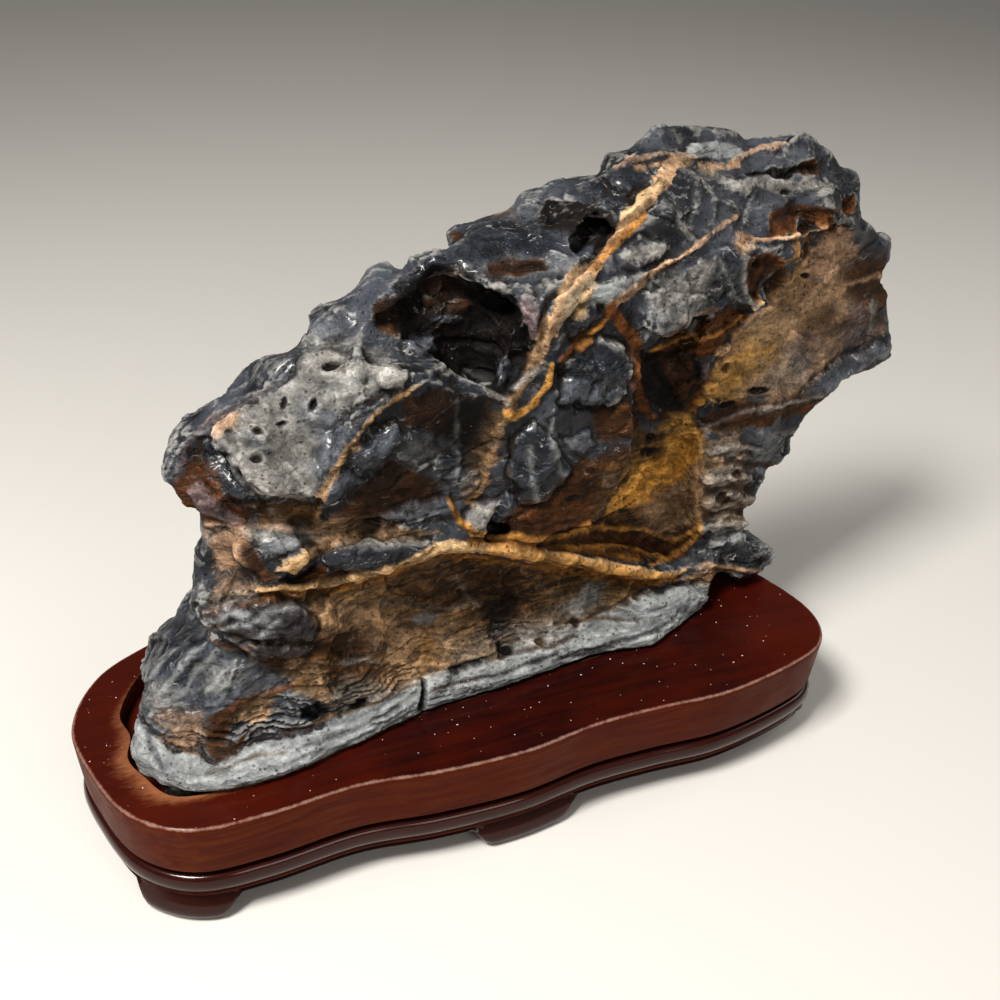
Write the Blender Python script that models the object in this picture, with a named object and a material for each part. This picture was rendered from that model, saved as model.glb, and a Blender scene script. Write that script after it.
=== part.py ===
"""A scholar's rock standing in the seat of its carved wooden stand.

The stone is one closed body: a slab of dark limestone that stands on its foot, leans out over its left end as a
nose, rises along a broken crest and runs out to the right as a thin wing. It is put together from chunks, each an
outline in the rock's own front plane with a depth at every corner. They are fused, hollowed, faceted and thinned.
The stand is one carved block: a kidney-shaped top with the seat cut into it, a straight side, a groove, a bead and
six feet.

All sizes below are in millimetres; the model is built in metres. The working frame has its origin on the floor
under the middle of the stand, X along the stand, Y to the back and Z up. At the end everything is moved so that
the origin lies under the middle of the whole object's box.
"""

import math

import bmesh
import bpy
import numpy as np
from mathutils import Matrix, Vector, noise

MM = 0.001
CURVE_STEPS = 24

# --------------------------------------------------------------------------------------------------------------
# Stand: driving dimensions
# --------------------------------------------------------------------------------------------------------------
STAND_TOP = 32.6
STAND_BEAD_TOP = 16.4
STAND_UNDERSIDE = 6.6
PLAN_STEPS = 76
# Corners of the plan, anticlockwise from the middle of the left end; a smooth closed curve runs through them.
STAND_PLAN = [
    (-100, 5), (-97.5, -12), (-91, -27.5), (-79, -36.6), (-62, -38), (-40, -36.7), (-20, -39.2), (2, -40),
    (22, -37.6), (40, -37.7), (60, -38.6), (82, -35), (94.5, -30), (100, -20), (98.3, -6), (90, 12),
    (72, 28), (46, 36.5), (18, 35), (-8, 33), (-34, 37.5), (-58, 37.5), (-76, 30.5), (-92, 21),
]
# Moulding from the top edge down: (how far inside the plan, height).
MOULDING = [
    (0.9, STAND_TOP), (0.2, STAND_TOP - 0.25), (0.0, STAND_TOP - 0.9), (0.9, STAND_BEAD_TOP + 0.9),
    (2.6, STAND_BEAD_TOP), (2.7, STAND_BEAD_TOP - 0.9), (0.9, STAND_BEAD_TOP - 1.3), (0.0, STAND_BEAD_TOP - 3.0),
    (0.0, STAND_BEAD_TOP - 4.4), (0.7, STAND_BEAD_TOP - 6.2), (1.9, STAND_BEAD_TOP - 7.1),
    (1.3, STAND_BEAD_TOP - 8.2),
]
# Feet: middle of each along the plan (as a fraction of its length from the left end) and half its length.
FEET = [(0.093, 14), (0.275, 15), (0.497, 13), (0.600, 14), (0.775, 15), (0.920, 14)]
FOOT_FLAT = 0.62
FOOT_WALL = 9.0
FOOT_SWELL = 1.6
# Below the moulding: (how far inside the plan, share of the way from the underside down to the sole).
FOOT_ROWS = [(1.4, 0.45), (1.6, 0.80), (2.4, 1.0)]

# Seat cut in the top for the foot of the stone.
SEAT_FLOOR = 27.4
SEAT_STEPS = 72
SEAT_PLAN = [
    (-88.3, 6), (-87, -3), (-88.5, -10), (-86, -16.5), (-80, -25.4), (-66, -27), (-50, -25.6), (-38, -23.2),
    (-20, -19), (0, -18.8), (20, -16.6), (38, -17.6), (52, -15.8), (63, -11), (70.5, -6), (73, 3),
    (70, 13), (60, 21), (36, 27), (6, 28), (-24, 27), (-50, 26), (-70, 25), (-81, 19),
]

# --------------------------------------------------------------------------------------------------------------
# Rock: driving dimensions, in its own frame (X along the stone, Y to its back, Z up), turned on the stand
# --------------------------------------------------------------------------------------------------------------
ROCK_TURN = math.radians(8.0)
ROCK_BOTTOM = 27.8
ROCK_GAP = 0.4
TRIM_BLOCK = [(-150, -90), (190, -90), (190, 90), (-150, 90)]
ROCK_VOXEL = 1.35
ROCK_TRIANGLES = 6500
LEAST_SHARE = 0.2

# name: (depth of the hidden side, how far that is drawn in, [(x, z, depth of the corner), ...])
CHUNKS = {
    "core": (20, 14, [(-66, 60, -4), (-67, 92, -4), (-58, 117, 2), (-42, 127, 2), (-10, 142, 3), (16, 150, 5),
                      (40, 157, 6), (74, 154, 4), (88, 132, 0), (80, 100, -2), (74, 62, -3), (66, 40, -4),
                      (-20, 40, -6)]),
    "foot": (25, 12, [(-80, 26, -14), (-87, 34, -5), (-86, 46, 0), (-81, 56, 2), (-72, 62, 1), (-60, 68, -7),
                     (-42, 62, -10), (-22, 48, -12), (-14, 26, -15), (-50, 26, -17)]),
    "foot_lump": (4, 3, [(-71, 80, -7), (-49, 78, -13), (-38, 64, -14), (-44, 56, -15), (-62, 64, -14),
                         (-71, 71, -9)]),
    "base": (22, 6, [(-24, 26, -15), (0, 26, -16), (20, 26, -16), (45, 26, -17), (60, 28, -16), (66, 42, -9),
                     (36, 50, -8), (-2, 50, -8), (-24, 50, -10)]),
    "base_end": (13, 5, [(50, 26, -16), (66, 27, -15), (74, 32, -12), (71, 44, -9), (50, 48, -9)]),
    "band": (24, 11, [(-69, 66, -4), (-70, 82, -4), (-40, 82, -8), (2, 76, -8), (26, 68, -8), (58, 50, -8),
                     (70, 44, -7), (60, 36, -8), (0, 40, -9), (-40, 50, -9)]),
    "vein_ledge": (0, 2, [(-58, 82, -11), (-42, 80, -13), (-30, 80, -14), (-15, 83, -15), (1, 78, -16),
                          (25, 66, -16), (47, 54, -15), (60, 48, -13), (58, 44, -12), (45, 49, -14),
                          (23, 61, -15), (0, 73, -15), (-16, 78, -14), (-30, 76, -13), (-44, 76, -11)]),
    "waist": (22, 11, [(-70, 78, 0), (-70, 85, 0), (-66, 89, 0), (-65, 99, 0), (-50, 102, -7), (0, 100, -8),
                      (10, 80, -8), (-20, 72, -8), (-58, 76, -8)]),
    "waist_lump": (0, 3, [(-62, 94, -10), (-49, 94, -12), (-46, 87, -15), (-50, 83, -15), (-60, 85, -11)]),
    "lens": (0, 2, [(-45, 82, -14), (-42, 88, -14), (-30, 88, -14), (-17, 83, -13), (-30, 79, -14)]),
    "nose": (19, 13, [(-76, 108, -3), (-71, 115, 1), (-60, 119, 3), (-50, 121, 4), (-43, 128, 5), (-34, 127, 0),
                     (-36, 104, -8), (-58, 104, -10), (-66, 99, -3), (-72, 101, -2)]),
    "plate": (8, 2, [(-66, 116, -10), (-58, 108, -16), (-45, 102, -17), (-39, 103, -16), (-35, 115, -15),
                     (-33, 124, -8), (-38, 128, 2), (-50, 121, 1), (-62, 118, -2)]),
    "shoulder": (18, 9, [(-43, 128, 5), (-36, 132, 6), (-29, 135, 6), (-23, 138, 6), (-12, 141, 6), (-6, 147, 6),
                         (-4, 143, 2), (-14, 138, -3), (-26, 134, -6), (-36, 123, -10), (-30, 116, -9),
                         (-10, 125, -6)]),
    "ridge": (2, 3, [(-44, 103, -15), (-40, 114, -16), (-26, 127, -13), (-14, 127, -13), (-1, 118, -15),
                     (-2, 111, -15), (-16, 117, -14), (-28, 119, -13), (-38, 105, -13)]),
    "low_dark": (0, 3, [(-43, 99, -12), (-38, 108, -13), (-26, 118, -14), (-16, 117, -13), (-1, 111, -13),
                        (2, 90, -14), (-6, 80, -14), (-25, 89, -13), (-42, 93, -11)]),
    "mass": (4, 4, [(-6, 86, -15), (10, 75, -17), (27, 77, -18), (38, 89, -17), (33, 108, -18), (35, 124, -18),
                    (48, 124, -16), (64, 126, -15), (66, 140, -12), (59, 147, -9), (40, 151, -6), (24, 143, -12),
                    (12, 140, -14), (2, 133, -15), (-2, 109, -15)]),
    "crest": (18, 9, [(-6, 144, 6), (4, 148, 7), (18, 150, 7), (30, 153, 7), (38, 157, 8), (40, 151, -4),
                      (28, 147, -8), (14, 140, -11), (2, 136, -11), (-8, 139, -4)]),
    "peak": (17, 8, [(37, 157, 8), (43, 161, 8), (52, 167, 9), (64, 164, 9), (78, 159, 8), (74, 150, -3),
                     (60, 148, -8), (42, 150, -5), (35, 152, -2)]),
    "blade": (13, 7, [(76, 159, 7), (85, 159, 6), (96, 160, 5), (104, 155, 4), (114, 148, 3), (118, 140, 2),
                      (118, 132, 0), (110, 134, -5), (98, 140, -9), (80, 138, -12), (64, 138, -13),
                      (60, 148, -8)]),
    "hang": (0, 3, [(62, 126, -15), (66, 142, -12), (84, 139, -12), (88, 133, -11), (79, 122, -12),
                    (70, 122, -14)]),
    "wing": (9, 4, [(66, 122, -3), (70, 146, 1), (92, 150, 2), (108, 144, 2), (119, 134, 1), (133, 127, 1),
                    (132, 118, 0), (138, 110, 0), (137, 102, -1), (143, 89, -2), (132, 86, -3), (121, 87, -4),
                    (112, 83, -5), (95, 76, -5), (76, 70, -4), (60, 90, -4)]),
    "spur": (6, 3, [(72, 84, -8), (88, 91, -9), (112, 88, -7), (107, 83, -7), (101, 77, -7), (85, 75, -9)]),
    "neck": (9, 4, [(66, 88, -8), (80, 86, -9), (103, 75, -7), (105, 66, -7), (93, 67, -8), (88, 61, -9),
                    (86, 57, -10), (85, 50, -11), (83, 44, -13), (72, 36, -14), (64, 44, -11), (68, 54, -11),
                    (66, 67, -10)]),
    "knob": (4, 3, [(78, 50, -14), (93, 45, -14), (97, 38, -14), (94, 34.5, -14), (84, 35, -15), (76, 41, -15)]),
    "skirt": (-4, 2, [(-84, 32, -12), (-76, 40, -15), (-40, 41, -16), (-20, 42, -15), (22, 44, -14), (60, 43, -14),
                      (71, 38, -13), (72, 33, -13), (50, 32, -19), (20, 33, -18), (0, 32, -17), (-22, 32.4, -16),
                      (-50, 30, -18), (-80, 30, -15)]),
}
# Slabs on the far side, the same way round: the depth of each corner is that of the back.
BACK_CHUNKS = {
    "back_foot": (0, 4, [(-72, 34, 23), (-68, 58, 22), (-46, 74, 27), (-24, 60, 29), (-30, 34, 27)]),
    "back_slab": (0, 5, [(-8, 68, 26), (8, 98, 27), (42, 112, 23), (70, 92, 17), (66, 58, 17), (30, 50, 25)]),
    "back_upper": (0, 5, [(-54, 100, 19), (-46, 119, 15), (-20, 131, 16), (6, 138, 17), (16, 122, 23),
                          (-4, 104, 26), (-30, 96, 25)]),
    "back_crest": (0, 5, [(18, 128, 21), (26, 144, 16), (54, 154, 16), (84, 149, 12), (82, 132, 15),
                          (48, 119, 20)]),
    "back_wing": (0, 4, [(84, 98, 12), (90, 122, 12), (110, 126, 10), (124, 112, 9), (118, 94, 9)]),
}
# Hollows worn into the stone: (middle x, y, z), (half sizes), turn in the front plane in degrees.
HOLLOWS = {
    "shoulder_cave": ((-6, -14, 130), (10, 12, 12), 15),
    "cave_right": ((4, -18, 124), (8, 9, 10), 10),
    "cave_left": ((-19, -12, 131), (7, 9, 7), -20),
    "under_mass": ((53, -9, 108), (17, 12, 11), -28),
    "right_window": ((81, -12, 127), (7, 8, 7), -20),
    "crest_pocket": ((13, -2, 148), (7, 4, 2.8), -10),
    "blade_slot": ((80, -6, 153), (13, 6, 2), 5),
    "low_cave": ((6, -14, 48), (9, 7, 9), 10),
    "low_slot": ((-12, -18, 37), (7, 4, 2.4), 18),
    "notch": ((-18, -18, 31), (2.2, 6, 6), 0),
    "eye_ring": ((-52, -16, 83), (6, 3, 2.5), 25),
    "nose_under": ((-54, -18, 99), (13, 5, 3.5), -10),
    "dark_pool": ((-8, -19, 99), (9, 6, 8), 0),
    "back_bowl": ((-20, 27, 100), (20, 9, 15), 10),
    "back_slot": ((44, 26, 118), (19, 9, 7), -20),
    "back_foot_arch": ((10, 28, 46), (16, 8, 10), 0),
}
# Bulges on the far side: (middle x, y, z), (half sizes).
BACK_LUMPS = [
    ((-34, 18, 88), (18, 8, 9)), ((34, 19, 66), (16, 8, 9)), ((-58, 16, 44), (12, 9, 9)),
    ((64, 12, 116), (14, 7, 8)),
]
# Facets left by breaking, from coarse to fine: (size of a facet, how far it stands out or lies back).
FACETS = [(17.0, 2.0), (8.0, 1.0)]
FACET_TILT = 2.2
FACET_RISE = 0.77
FACET_SEED = 11.3
# Bedding of the stone: height of a layer, depth of its step, how it dips to the left and how it is bent.
BED_HEIGHT = 4.6
BED_DEPTH = 1.0
BED_DIP = 0.10
BED_BEND = 1.6
BED_BEND_SIZE = 30.0
# Where the bedding shows most: low on the stone, and round the neck at its right end.
BED_LOW_TOP, BED_LOW_FADE = 60.0, 20.0
BED_NECK_X, BED_NECK_HALF = 84.0, 16.0
BED_ELSEWHERE = 0.25


# --------------------------------------------------------------------------------------------------------------
# Small helpers
# --------------------------------------------------------------------------------------------------------------
def clear_scene():
    """Remove every object of the scene."""
    for obj in list(bpy.data.objects):
        bpy.data.objects.remove(obj, do_unlink=True)


def material(name, colour, roughness):
    """A plain Principled material."""
    mat = bpy.data.materials.new(name)
    mat.use_nodes = True
    shader = mat.node_tree.nodes["Principled BSDF"]
    shader.inputs["Base Color"].default_value = (*colour, 1.0)
    shader.inputs["Roughness"].default_value = roughness
    shader.inputs["Metallic"].default_value = 0.0
    return mat


def mesh_object(name, bm):
    """Make a linked object of a bmesh and free the bmesh."""
    mesh = bpy.data.meshes.new(name)
    bm.to_mesh(mesh)
    bm.free()
    obj = bpy.data.objects.new(name, mesh)
    bpy.context.scene.collection.objects.link(obj)
    return obj


def bake_modifiers(obj):
    """Replace an object's mesh by what its modifiers make of it."""
    graph = bpy.context.evaluated_depsgraph_get()
    baked = bpy.data.meshes.new_from_object(obj.evaluated_get(graph), depsgraph=graph)
    obj.modifiers.clear()
    old = obj.data
    obj.data = baked
    bpy.data.meshes.remove(old)


def cut(obj, cutter, operation="DIFFERENCE"):
    """Cut (or join) an object with another and drop the other."""
    boolean = obj.modifiers.new("cut", "BOOLEAN")
    boolean.operation = operation
    boolean.solver = "EXACT"
    boolean.object = cutter
    bake_modifiers(obj)
    bpy.data.objects.remove(cutter, do_unlink=True)


def smooth_loop(corners, steps):
    """Points evenly spaced along a closed Catmull-Rom curve through the corners, in millimetres."""
    ring = np.array(corners, float)
    before, after, beyond = np.roll(ring, 1, 0), np.roll(ring, -1, 0), np.roll(ring, -2, 0)
    t = np.linspace(0, 1, CURVE_STEPS, endpoint=False)[None, :, None]
    fine = 0.5 * (2 * ring[:, None] + (after - before)[:, None] * t
                  + (2 * before - 5 * ring + 4 * after - beyond)[:, None] * t ** 2
                  + (3 * ring - before - 3 * after + beyond)[:, None] * t ** 3)
    fine = fine.reshape(-1, 2)
    closed = np.vstack([fine, fine[:1]])
    reach = np.concatenate([[0], np.cumsum(np.linalg.norm(np.diff(closed, axis=0), axis=1))])
    wanted = np.linspace(0, reach[-1], steps, endpoint=False)
    return np.stack([np.interp(wanted, reach, closed[:, k]) for k in (0, 1)], 1), reach[-1]


def inward(ring):
    """Unit normals of an anticlockwise ring that point to its inside."""
    along = np.roll(ring, -1, 0) - np.roll(ring, 1, 0)
    along /= np.linalg.norm(along, axis=1)[:, None]
    return np.stack([-along[:, 1], along[:, 0]], 1)


def prism(name, ring, low, high):
    """A closed prism on a plan ring between two heights, all in millimetres."""
    bm = bmesh.new()
    base = [bm.verts.new((x * MM, y * MM, low * MM)) for x, y in ring]
    top = [bm.verts.new((x * MM, y * MM, high * MM)) for x, y in ring]
    bm.faces.new(list(reversed(base)))
    bm.faces.new(top)
    for i in range(len(ring)):
        j = (i + 1) % len(ring)
        bm.faces.new((base[i], base[j], top[j], top[i]))
    return mesh_object(name, bm)


# --------------------------------------------------------------------------------------------------------------
# Stand
# --------------------------------------------------------------------------------------------------------------
def foot_drop(reach, length):
    """How far the moulding's lower edge comes down at a place along the plan: 0 between feet, 1 on their soles."""
    drop = 0.0
    for middle, half in FEET:
        away = abs((reach - middle * length + length / 2) % length - length / 2) / half
        if away < 1.0:
            rise = max(0.0, (away - FOOT_FLAT) / (1.0 - FOOT_FLAT))
            drop = max(drop, 1.0 - rise ** 2)
    return drop


def build_stand():
    """The carved block: moulded side, feet, flat underside and the seat in its top."""
    ring, length = smooth_loop(STAND_PLAN, PLAN_STEPS)
    normal = inward(ring)
    drop = np.array([foot_drop(i * length / PLAN_STEPS, length) for i in range(PLAN_STEPS)])
    sole = STAND_UNDERSIDE * (1.0 - drop)
    levels = [(ring + normal * inset, np.full(PLAN_STEPS, height)) for inset, height in MOULDING]
    for inset, share in FOOT_ROWS:
        height = (1.0 - share) * STAND_UNDERSIDE + share * sole
        levels.append((ring + normal * (inset - FOOT_SWELL * drop)[:, None], height))
    levels.append((ring + normal * FOOT_WALL, sole))
    levels.append((ring + normal * (FOOT_WALL + 1.2), np.full(PLAN_STEPS, STAND_UNDERSIDE)))
    bm = bmesh.new()
    rows = [[bm.verts.new((x * MM, y * MM, z * MM)) for (x, y), z in zip(plan, heights)]
            for plan, heights in levels]
    for upper, lower in zip(rows, rows[1:]):
        for i in range(PLAN_STEPS):
            j = (i + 1) % PLAN_STEPS
            bm.faces.new((upper[i], lower[i], lower[j], upper[j]))
    bm.faces.new(rows[0])
    bm.faces.new(list(reversed(rows[-1])))
    stand = mesh_object("stand", bm)
    seat, _ = smooth_loop(SEAT_PLAN, SEAT_STEPS)
    cut(stand, prism("seat", seat, SEAT_FLOOR, STAND_TOP + 10))
    stand.data.materials.clear()
    stand.data.materials.append(material("lacquered_wood", (0.085, 0.018, 0.010), 0.3))
    return stand


# --------------------------------------------------------------------------------------------------------------
# Rock
# --------------------------------------------------------------------------------------------------------------
def add_chunk(bm, inner, bevel, rows):
    """Add one chunk: its corners as they show, and its hidden side drawn in all round by the bevel."""
    middle = np.mean([(x, z) for x, z, _ in rows], axis=0)
    near, far = [], []
    for x, z, depth in rows:
        away = np.array([x, z]) - middle
        bx, bz = middle + away * max(LEAST_SHARE, 1.0 - bevel / np.linalg.norm(away))
        near.append(bm.verts.new((x * MM, depth * MM, z * MM)))
        far.append(bm.verts.new((bx * MM, inner * MM, bz * MM)))
    faces = [bm.faces.new(near), bm.faces.new(list(reversed(far)))]
    for i in range(len(rows)):
        j = (i + 1) % len(rows)
        faces.append(bm.faces.new((near[i], far[i], far[j], near[j])))
    bmesh.ops.triangulate(bm, faces=faces)


def add_ball(bm, middle, half, turn=0.0):
    """Add an ellipsoid with its half sizes, turned in the front plane."""
    place = (Matrix.Translation(Vector(middle) * MM) @ Matrix.Rotation(math.radians(-turn), 4, "Y")
             @ Matrix.Diagonal((*[h * MM for h in half], 1.0)))
    bmesh.ops.create_icosphere(bm, subdivisions=3, radius=1.0, matrix=place)


def fuse(obj, voxel):
    """Fuse an object's overlapping shells into one evenly meshed skin."""
    remesh = obj.modifiers.new("fuse", "REMESH")
    remesh.mode = "VOXEL"
    remesh.voxel_size = voxel * MM
    remesh.adaptivity = 0.0
    bake_modifiers(obj)


def facet_shift(point, size, depth, seed):
    """Signed distance by which a facet tilts and lifts the surface at a point, both in millimetres."""
    moved = point / size + Vector((seed, -seed, 2 * seed))
    _, cells = noise.voronoi(moved)
    cell = cells[0]
    tilt = Vector([noise.noise(cell * 3.7 + Vector((axis * 9.1, 4.3, 2.7))) for axis in range(3)])
    return depth * (FACET_TILT * tilt.dot(moved - cell) + FACET_RISE * noise.noise(cell * 5.1))


def bed_shift(point):
    """Step of the bedding at a point, in millimetres: thin layers, bent a little."""
    level = (point.z + BED_DIP * point.x) / BED_HEIGHT + BED_BEND * noise.noise(point / BED_BEND_SIZE)
    part = level - math.floor(level)
    low = max(0.0, min(1.0, (BED_LOW_TOP - point.z) / BED_LOW_FADE))
    neck = max(0.0, 1.0 - abs(point.x - BED_NECK_X) / BED_NECK_HALF)
    return BED_DEPTH * (min(1.0, low + neck) + BED_ELSEWHERE) * (1.0 - 2.0 * part ** 2)


def sculpt(obj):
    """Move the skin along its normals: facets and bedding."""
    mesh = obj.data
    mesh.update()
    shifts = []
    for vert in mesh.vertices:
        point = vert.co / MM
        shift = bed_shift(point)
        for step, (size, depth) in enumerate(FACETS):
            shift += facet_shift(point, size, depth, FACET_SEED * (step + 1))
        shifts.append(vert.normal * shift * MM)
    for vert, shift in zip(mesh.vertices, shifts):
        vert.co += shift


def thin_out(obj, triangles):
    """Reduce a mesh to a number of triangles."""
    mesh = obj.data
    mesh.calc_loop_triangles()
    decimate = obj.modifiers.new("thin", "DECIMATE")
    decimate.ratio = triangles / len(mesh.loop_triangles)
    decimate.use_collapse_triangulate = True
    bake_modifiers(obj)


def keep_main_body(obj):
    """Drop loose crumbs, keeping the body with the most corners."""
    bm = bmesh.new()
    bm.from_mesh(obj.data)
    seen, bodies = set(), []
    for start in bm.verts:
        if start in seen:
            continue
        seen.add(start)
        body = [start]
        for vert in body:
            for link in vert.link_edges:
                other = link.other_vert(vert)
                if other not in seen:
                    seen.add(other)
                    body.append(other)
        bodies.append(body)
    bodies.sort(key=len)
    for body in bodies[:-1]:
        bmesh.ops.delete(bm, geom=body, context="VERTS")
    bm.to_mesh(obj.data)
    bm.free()


def build_rock():
    """The stone, fused, hollowed, faceted and trimmed to its seat."""
    bm = bmesh.new()
    for inner, bevel, rows in [*CHUNKS.values(), *BACK_CHUNKS.values()]:
        add_chunk(bm, inner, bevel, rows)
    for middle, half in BACK_LUMPS:
        add_ball(bm, middle, half)
    bmesh.ops.recalc_face_normals(bm, faces=bm.faces)
    rock = mesh_object("rock", bm)
    fuse(rock, ROCK_VOXEL)
    for middle, half, turn in HOLLOWS.values():
        bm = bmesh.new()
        add_ball(bm, middle, half, turn)
        cut(rock, mesh_object("hollow", bm))
    fuse(rock, ROCK_VOXEL)
    sculpt(rock)
    fuse(rock, ROCK_VOXEL)
    keep_main_body(rock)
    thin_out(rock, ROCK_TRIANGLES)
    rock.data.transform(Matrix.Rotation(ROCK_TURN, 4, "Z"))
    trim_to_seat(rock)
    keep_main_body(rock)
    rock.data.materials.clear()
    rock.data.materials.append(material("limestone", (0.075, 0.078, 0.088), 0.55))
    return rock


def trim_to_seat(rock):
    """Cut away what would touch the stand: below the top only the seat's plan, a gap inside it, is left."""
    seat, _ = smooth_loop(SEAT_PLAN, SEAT_STEPS)
    inside = seat + inward(seat) * ROCK_GAP
    block = prism("block", TRIM_BLOCK, -20, STAND_TOP + ROCK_GAP)
    cut(block, prism("well", inside, ROCK_BOTTOM, STAND_TOP + 20))
    cut(rock, block)


# --------------------------------------------------------------------------------------------------------------
# The whole object
# --------------------------------------------------------------------------------------------------------------
def centre_on_box(objects):
    """Move the meshes so that the origin lies under the middle of their common box."""
    points = np.array([tuple(v.co) for obj in objects for v in obj.data.vertices])
    low, high = points.min(0), points.max(0)
    shift = Matrix.Translation((-(low[0] + high[0]) / 2, -(low[1] + high[1]) / 2, -low[2]))
    for obj in objects:
        obj.data.transform(shift)


def main():
    """Build the stand and the stone."""
    clear_scene()
    stand = build_stand()
    rock = build_rock()
    centre_on_box([stand, rock])


main()
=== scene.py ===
"""Dresses a scholar's rock and the carved wooden stand that it is seated in.

The stone is one skin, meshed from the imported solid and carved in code: broken facets, bedding, veins, pits
and caverns. Each mark that has its own place is a streak, a patch or a pit in the 1000 x 1000 frame of the
viewpoint, and is laid on the part of the skin that the viewpoint sees. The rest is carved by rule alone.
The stand is built from its plan and its moulding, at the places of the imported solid.

Sizes are in millimetres unless they say otherwise; meshes are in metres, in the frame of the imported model.
"""

from __future__ import annotations

import itertools
import logging
import math
from dataclasses import dataclass, field
from enum import Enum
from typing import ClassVar

import bmesh
import bpy
import numpy as np
from mathutils import Matrix, Vector
from mathutils.bvhtree import BVHTree

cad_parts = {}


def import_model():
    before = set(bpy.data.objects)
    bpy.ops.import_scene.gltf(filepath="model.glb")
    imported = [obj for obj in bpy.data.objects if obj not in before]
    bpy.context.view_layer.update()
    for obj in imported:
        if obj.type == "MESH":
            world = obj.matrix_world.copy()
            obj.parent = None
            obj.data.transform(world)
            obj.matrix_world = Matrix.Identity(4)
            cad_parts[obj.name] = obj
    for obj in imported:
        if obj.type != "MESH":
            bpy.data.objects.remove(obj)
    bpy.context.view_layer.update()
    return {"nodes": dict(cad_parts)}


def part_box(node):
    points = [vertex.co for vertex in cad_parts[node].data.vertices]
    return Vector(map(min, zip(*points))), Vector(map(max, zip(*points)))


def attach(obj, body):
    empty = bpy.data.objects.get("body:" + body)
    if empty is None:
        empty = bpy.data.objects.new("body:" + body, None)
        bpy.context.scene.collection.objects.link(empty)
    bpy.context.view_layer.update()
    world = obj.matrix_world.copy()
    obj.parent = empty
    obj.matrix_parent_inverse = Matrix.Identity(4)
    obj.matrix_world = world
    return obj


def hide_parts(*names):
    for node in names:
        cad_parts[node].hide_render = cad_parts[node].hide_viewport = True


Array = np.ndarray
Material = bpy.types.Material
Mesh = bpy.types.Mesh
Object = bpy.types.Object
Socket = bpy.types.NodeSocket
Sockets = dict[str, Socket]
Tree = bpy.types.NodeTree
Triple = tuple[float, float, float]

LOG = logging.getLogger("stone")
MM = 0.001
PLAN_HALF_DEPTH = 40.0


# ---- Repeatable noise and small mesh helpers ----
def smooth_step(low: float, high: float, value: Array) -> Array:
    """A soft step from 0 at low to 1 at high."""
    share = np.clip((value - low) / (high - low), 0.0, 1.0)
    return share * share * (3.0 - 2.0 * share)


@dataclass(frozen=True)
class Grain:
    """Noise on points in millimetres, the same on every run."""

    seed: int = 7
    fade: float = 0.55
    gain: float = 1.6
    apart: float = 17.3

    def _dice(self, cells: Array, salt: int) -> Array:
        """Gives each lattice cell a number from 0 to 1.

        Args:
            cells: whole-number cells, one row of three each.
            salt: tells apart several numbers of one cell.

        Returns:
            One number for each cell.
        """
        low32 = np.uint64(0xFFFFFFFF)
        grid = (cells.astype(np.int64) + 4096).astype(np.uint64)
        mixed = grid[..., 0] * np.uint64(73856093) ^ grid[..., 1] * np.uint64(19349663)
        mixed ^= grid[..., 2] * np.uint64(83492791) ^ np.uint64((self.seed * 31 + salt) * 2654435 + 97)
        mixed &= low32
        for shift, factor in ((13, 1274126177), (16, 2246822519), (15, 668265263)):
            mixed = ((mixed ^ (mixed >> np.uint64(shift))) * np.uint64(factor)) & low32
        return (mixed >> np.uint64(8)).astype(float) / float(0xFFFFFF)

    def value(self, points: Array, size: float, salt: int = 0) -> Array:
        """Smooth noise from -1 to 1 whose lumps are about size wide."""
        place = points / size
        low = np.floor(place)
        share = place - low
        share = share * share * (3.0 - 2.0 * share)
        total = np.zeros(len(points))
        for corner in itertools.product((0, 1), repeat=3):
            weight = np.prod(np.where(corner, share, 1.0 - share), axis=1)
            total += weight * self._dice(low + corner, salt)
        return 2.0 * total - 1.0

    def fractal(self, points: Array, size: float, octaves: int, salt: int = 0) -> Array:
        """Noise with finer and finer detail on it, about -1 to 1."""
        total, strength, reach = np.zeros(len(points)), 1.0, 0.0
        for octave in range(octaves):
            total += strength * self.value(points + self.apart * octave, size / 2.0 ** octave, salt + octave)
            reach += strength
            strength *= self.fade
        return total / reach * self.gain

    def cells(self, points: Array, size: float, salt: int = 0) -> tuple[Array, ...]:
        """Finds each point's nearest and second nearest cell heart.

        Args:
            points: points in millimetres.
            size: about how wide a cell is.
            salt: tells apart several sets of cells.

        Returns:
            Distance to the nearest heart, how much further the second is, the way from the nearest heart, all
            in cell sizes, and a random tilt and lift of the nearest cell, each from -1 to 1.
        """
        place = points / size
        low = np.floor(place)
        first, second = np.full(len(points), 9.0), np.full(len(points), 9.0)
        away, home = np.zeros_like(points), np.zeros_like(points)
        for step in itertools.product((-1, 0, 1), repeat=3):
            cell = low + step
            heart = cell + np.stack([self._dice(cell, salt + 11 * axis) for axis in range(3)], 1)
            way = place - heart
            far = np.linalg.norm(way, axis=1)
            closer = far < first
            second = np.where(closer, first, np.minimum(second, far))
            first = np.where(closer, far, first)
            away = np.where(closer[:, None], way, away)
            home = np.where(closer[:, None], cell, home)
        tilt = np.stack([self._dice(home, salt + 50 + axis) for axis in range(3)], 1) * 2.0 - 1.0
        lift = self._dice(home, salt + 60) * 2.0 - 1.0
        return first, second - first, away, tilt, lift


def corner_array(mesh: Mesh) -> Array:
    """The mesh's corners in millimetres, one row each."""
    flat = np.empty(3 * len(mesh.vertices), np.float32)
    mesh.vertices.foreach_get("co", flat)
    return flat.reshape(-1, 3).astype(float) / MM


def normal_array(mesh: Mesh) -> Array:
    """The mesh's corner normals, one row each."""
    flat = np.empty(3 * len(mesh.vertices), np.float32)
    mesh.vertices.foreach_get("normal", flat)
    return flat.reshape(-1, 3).astype(float)


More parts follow.
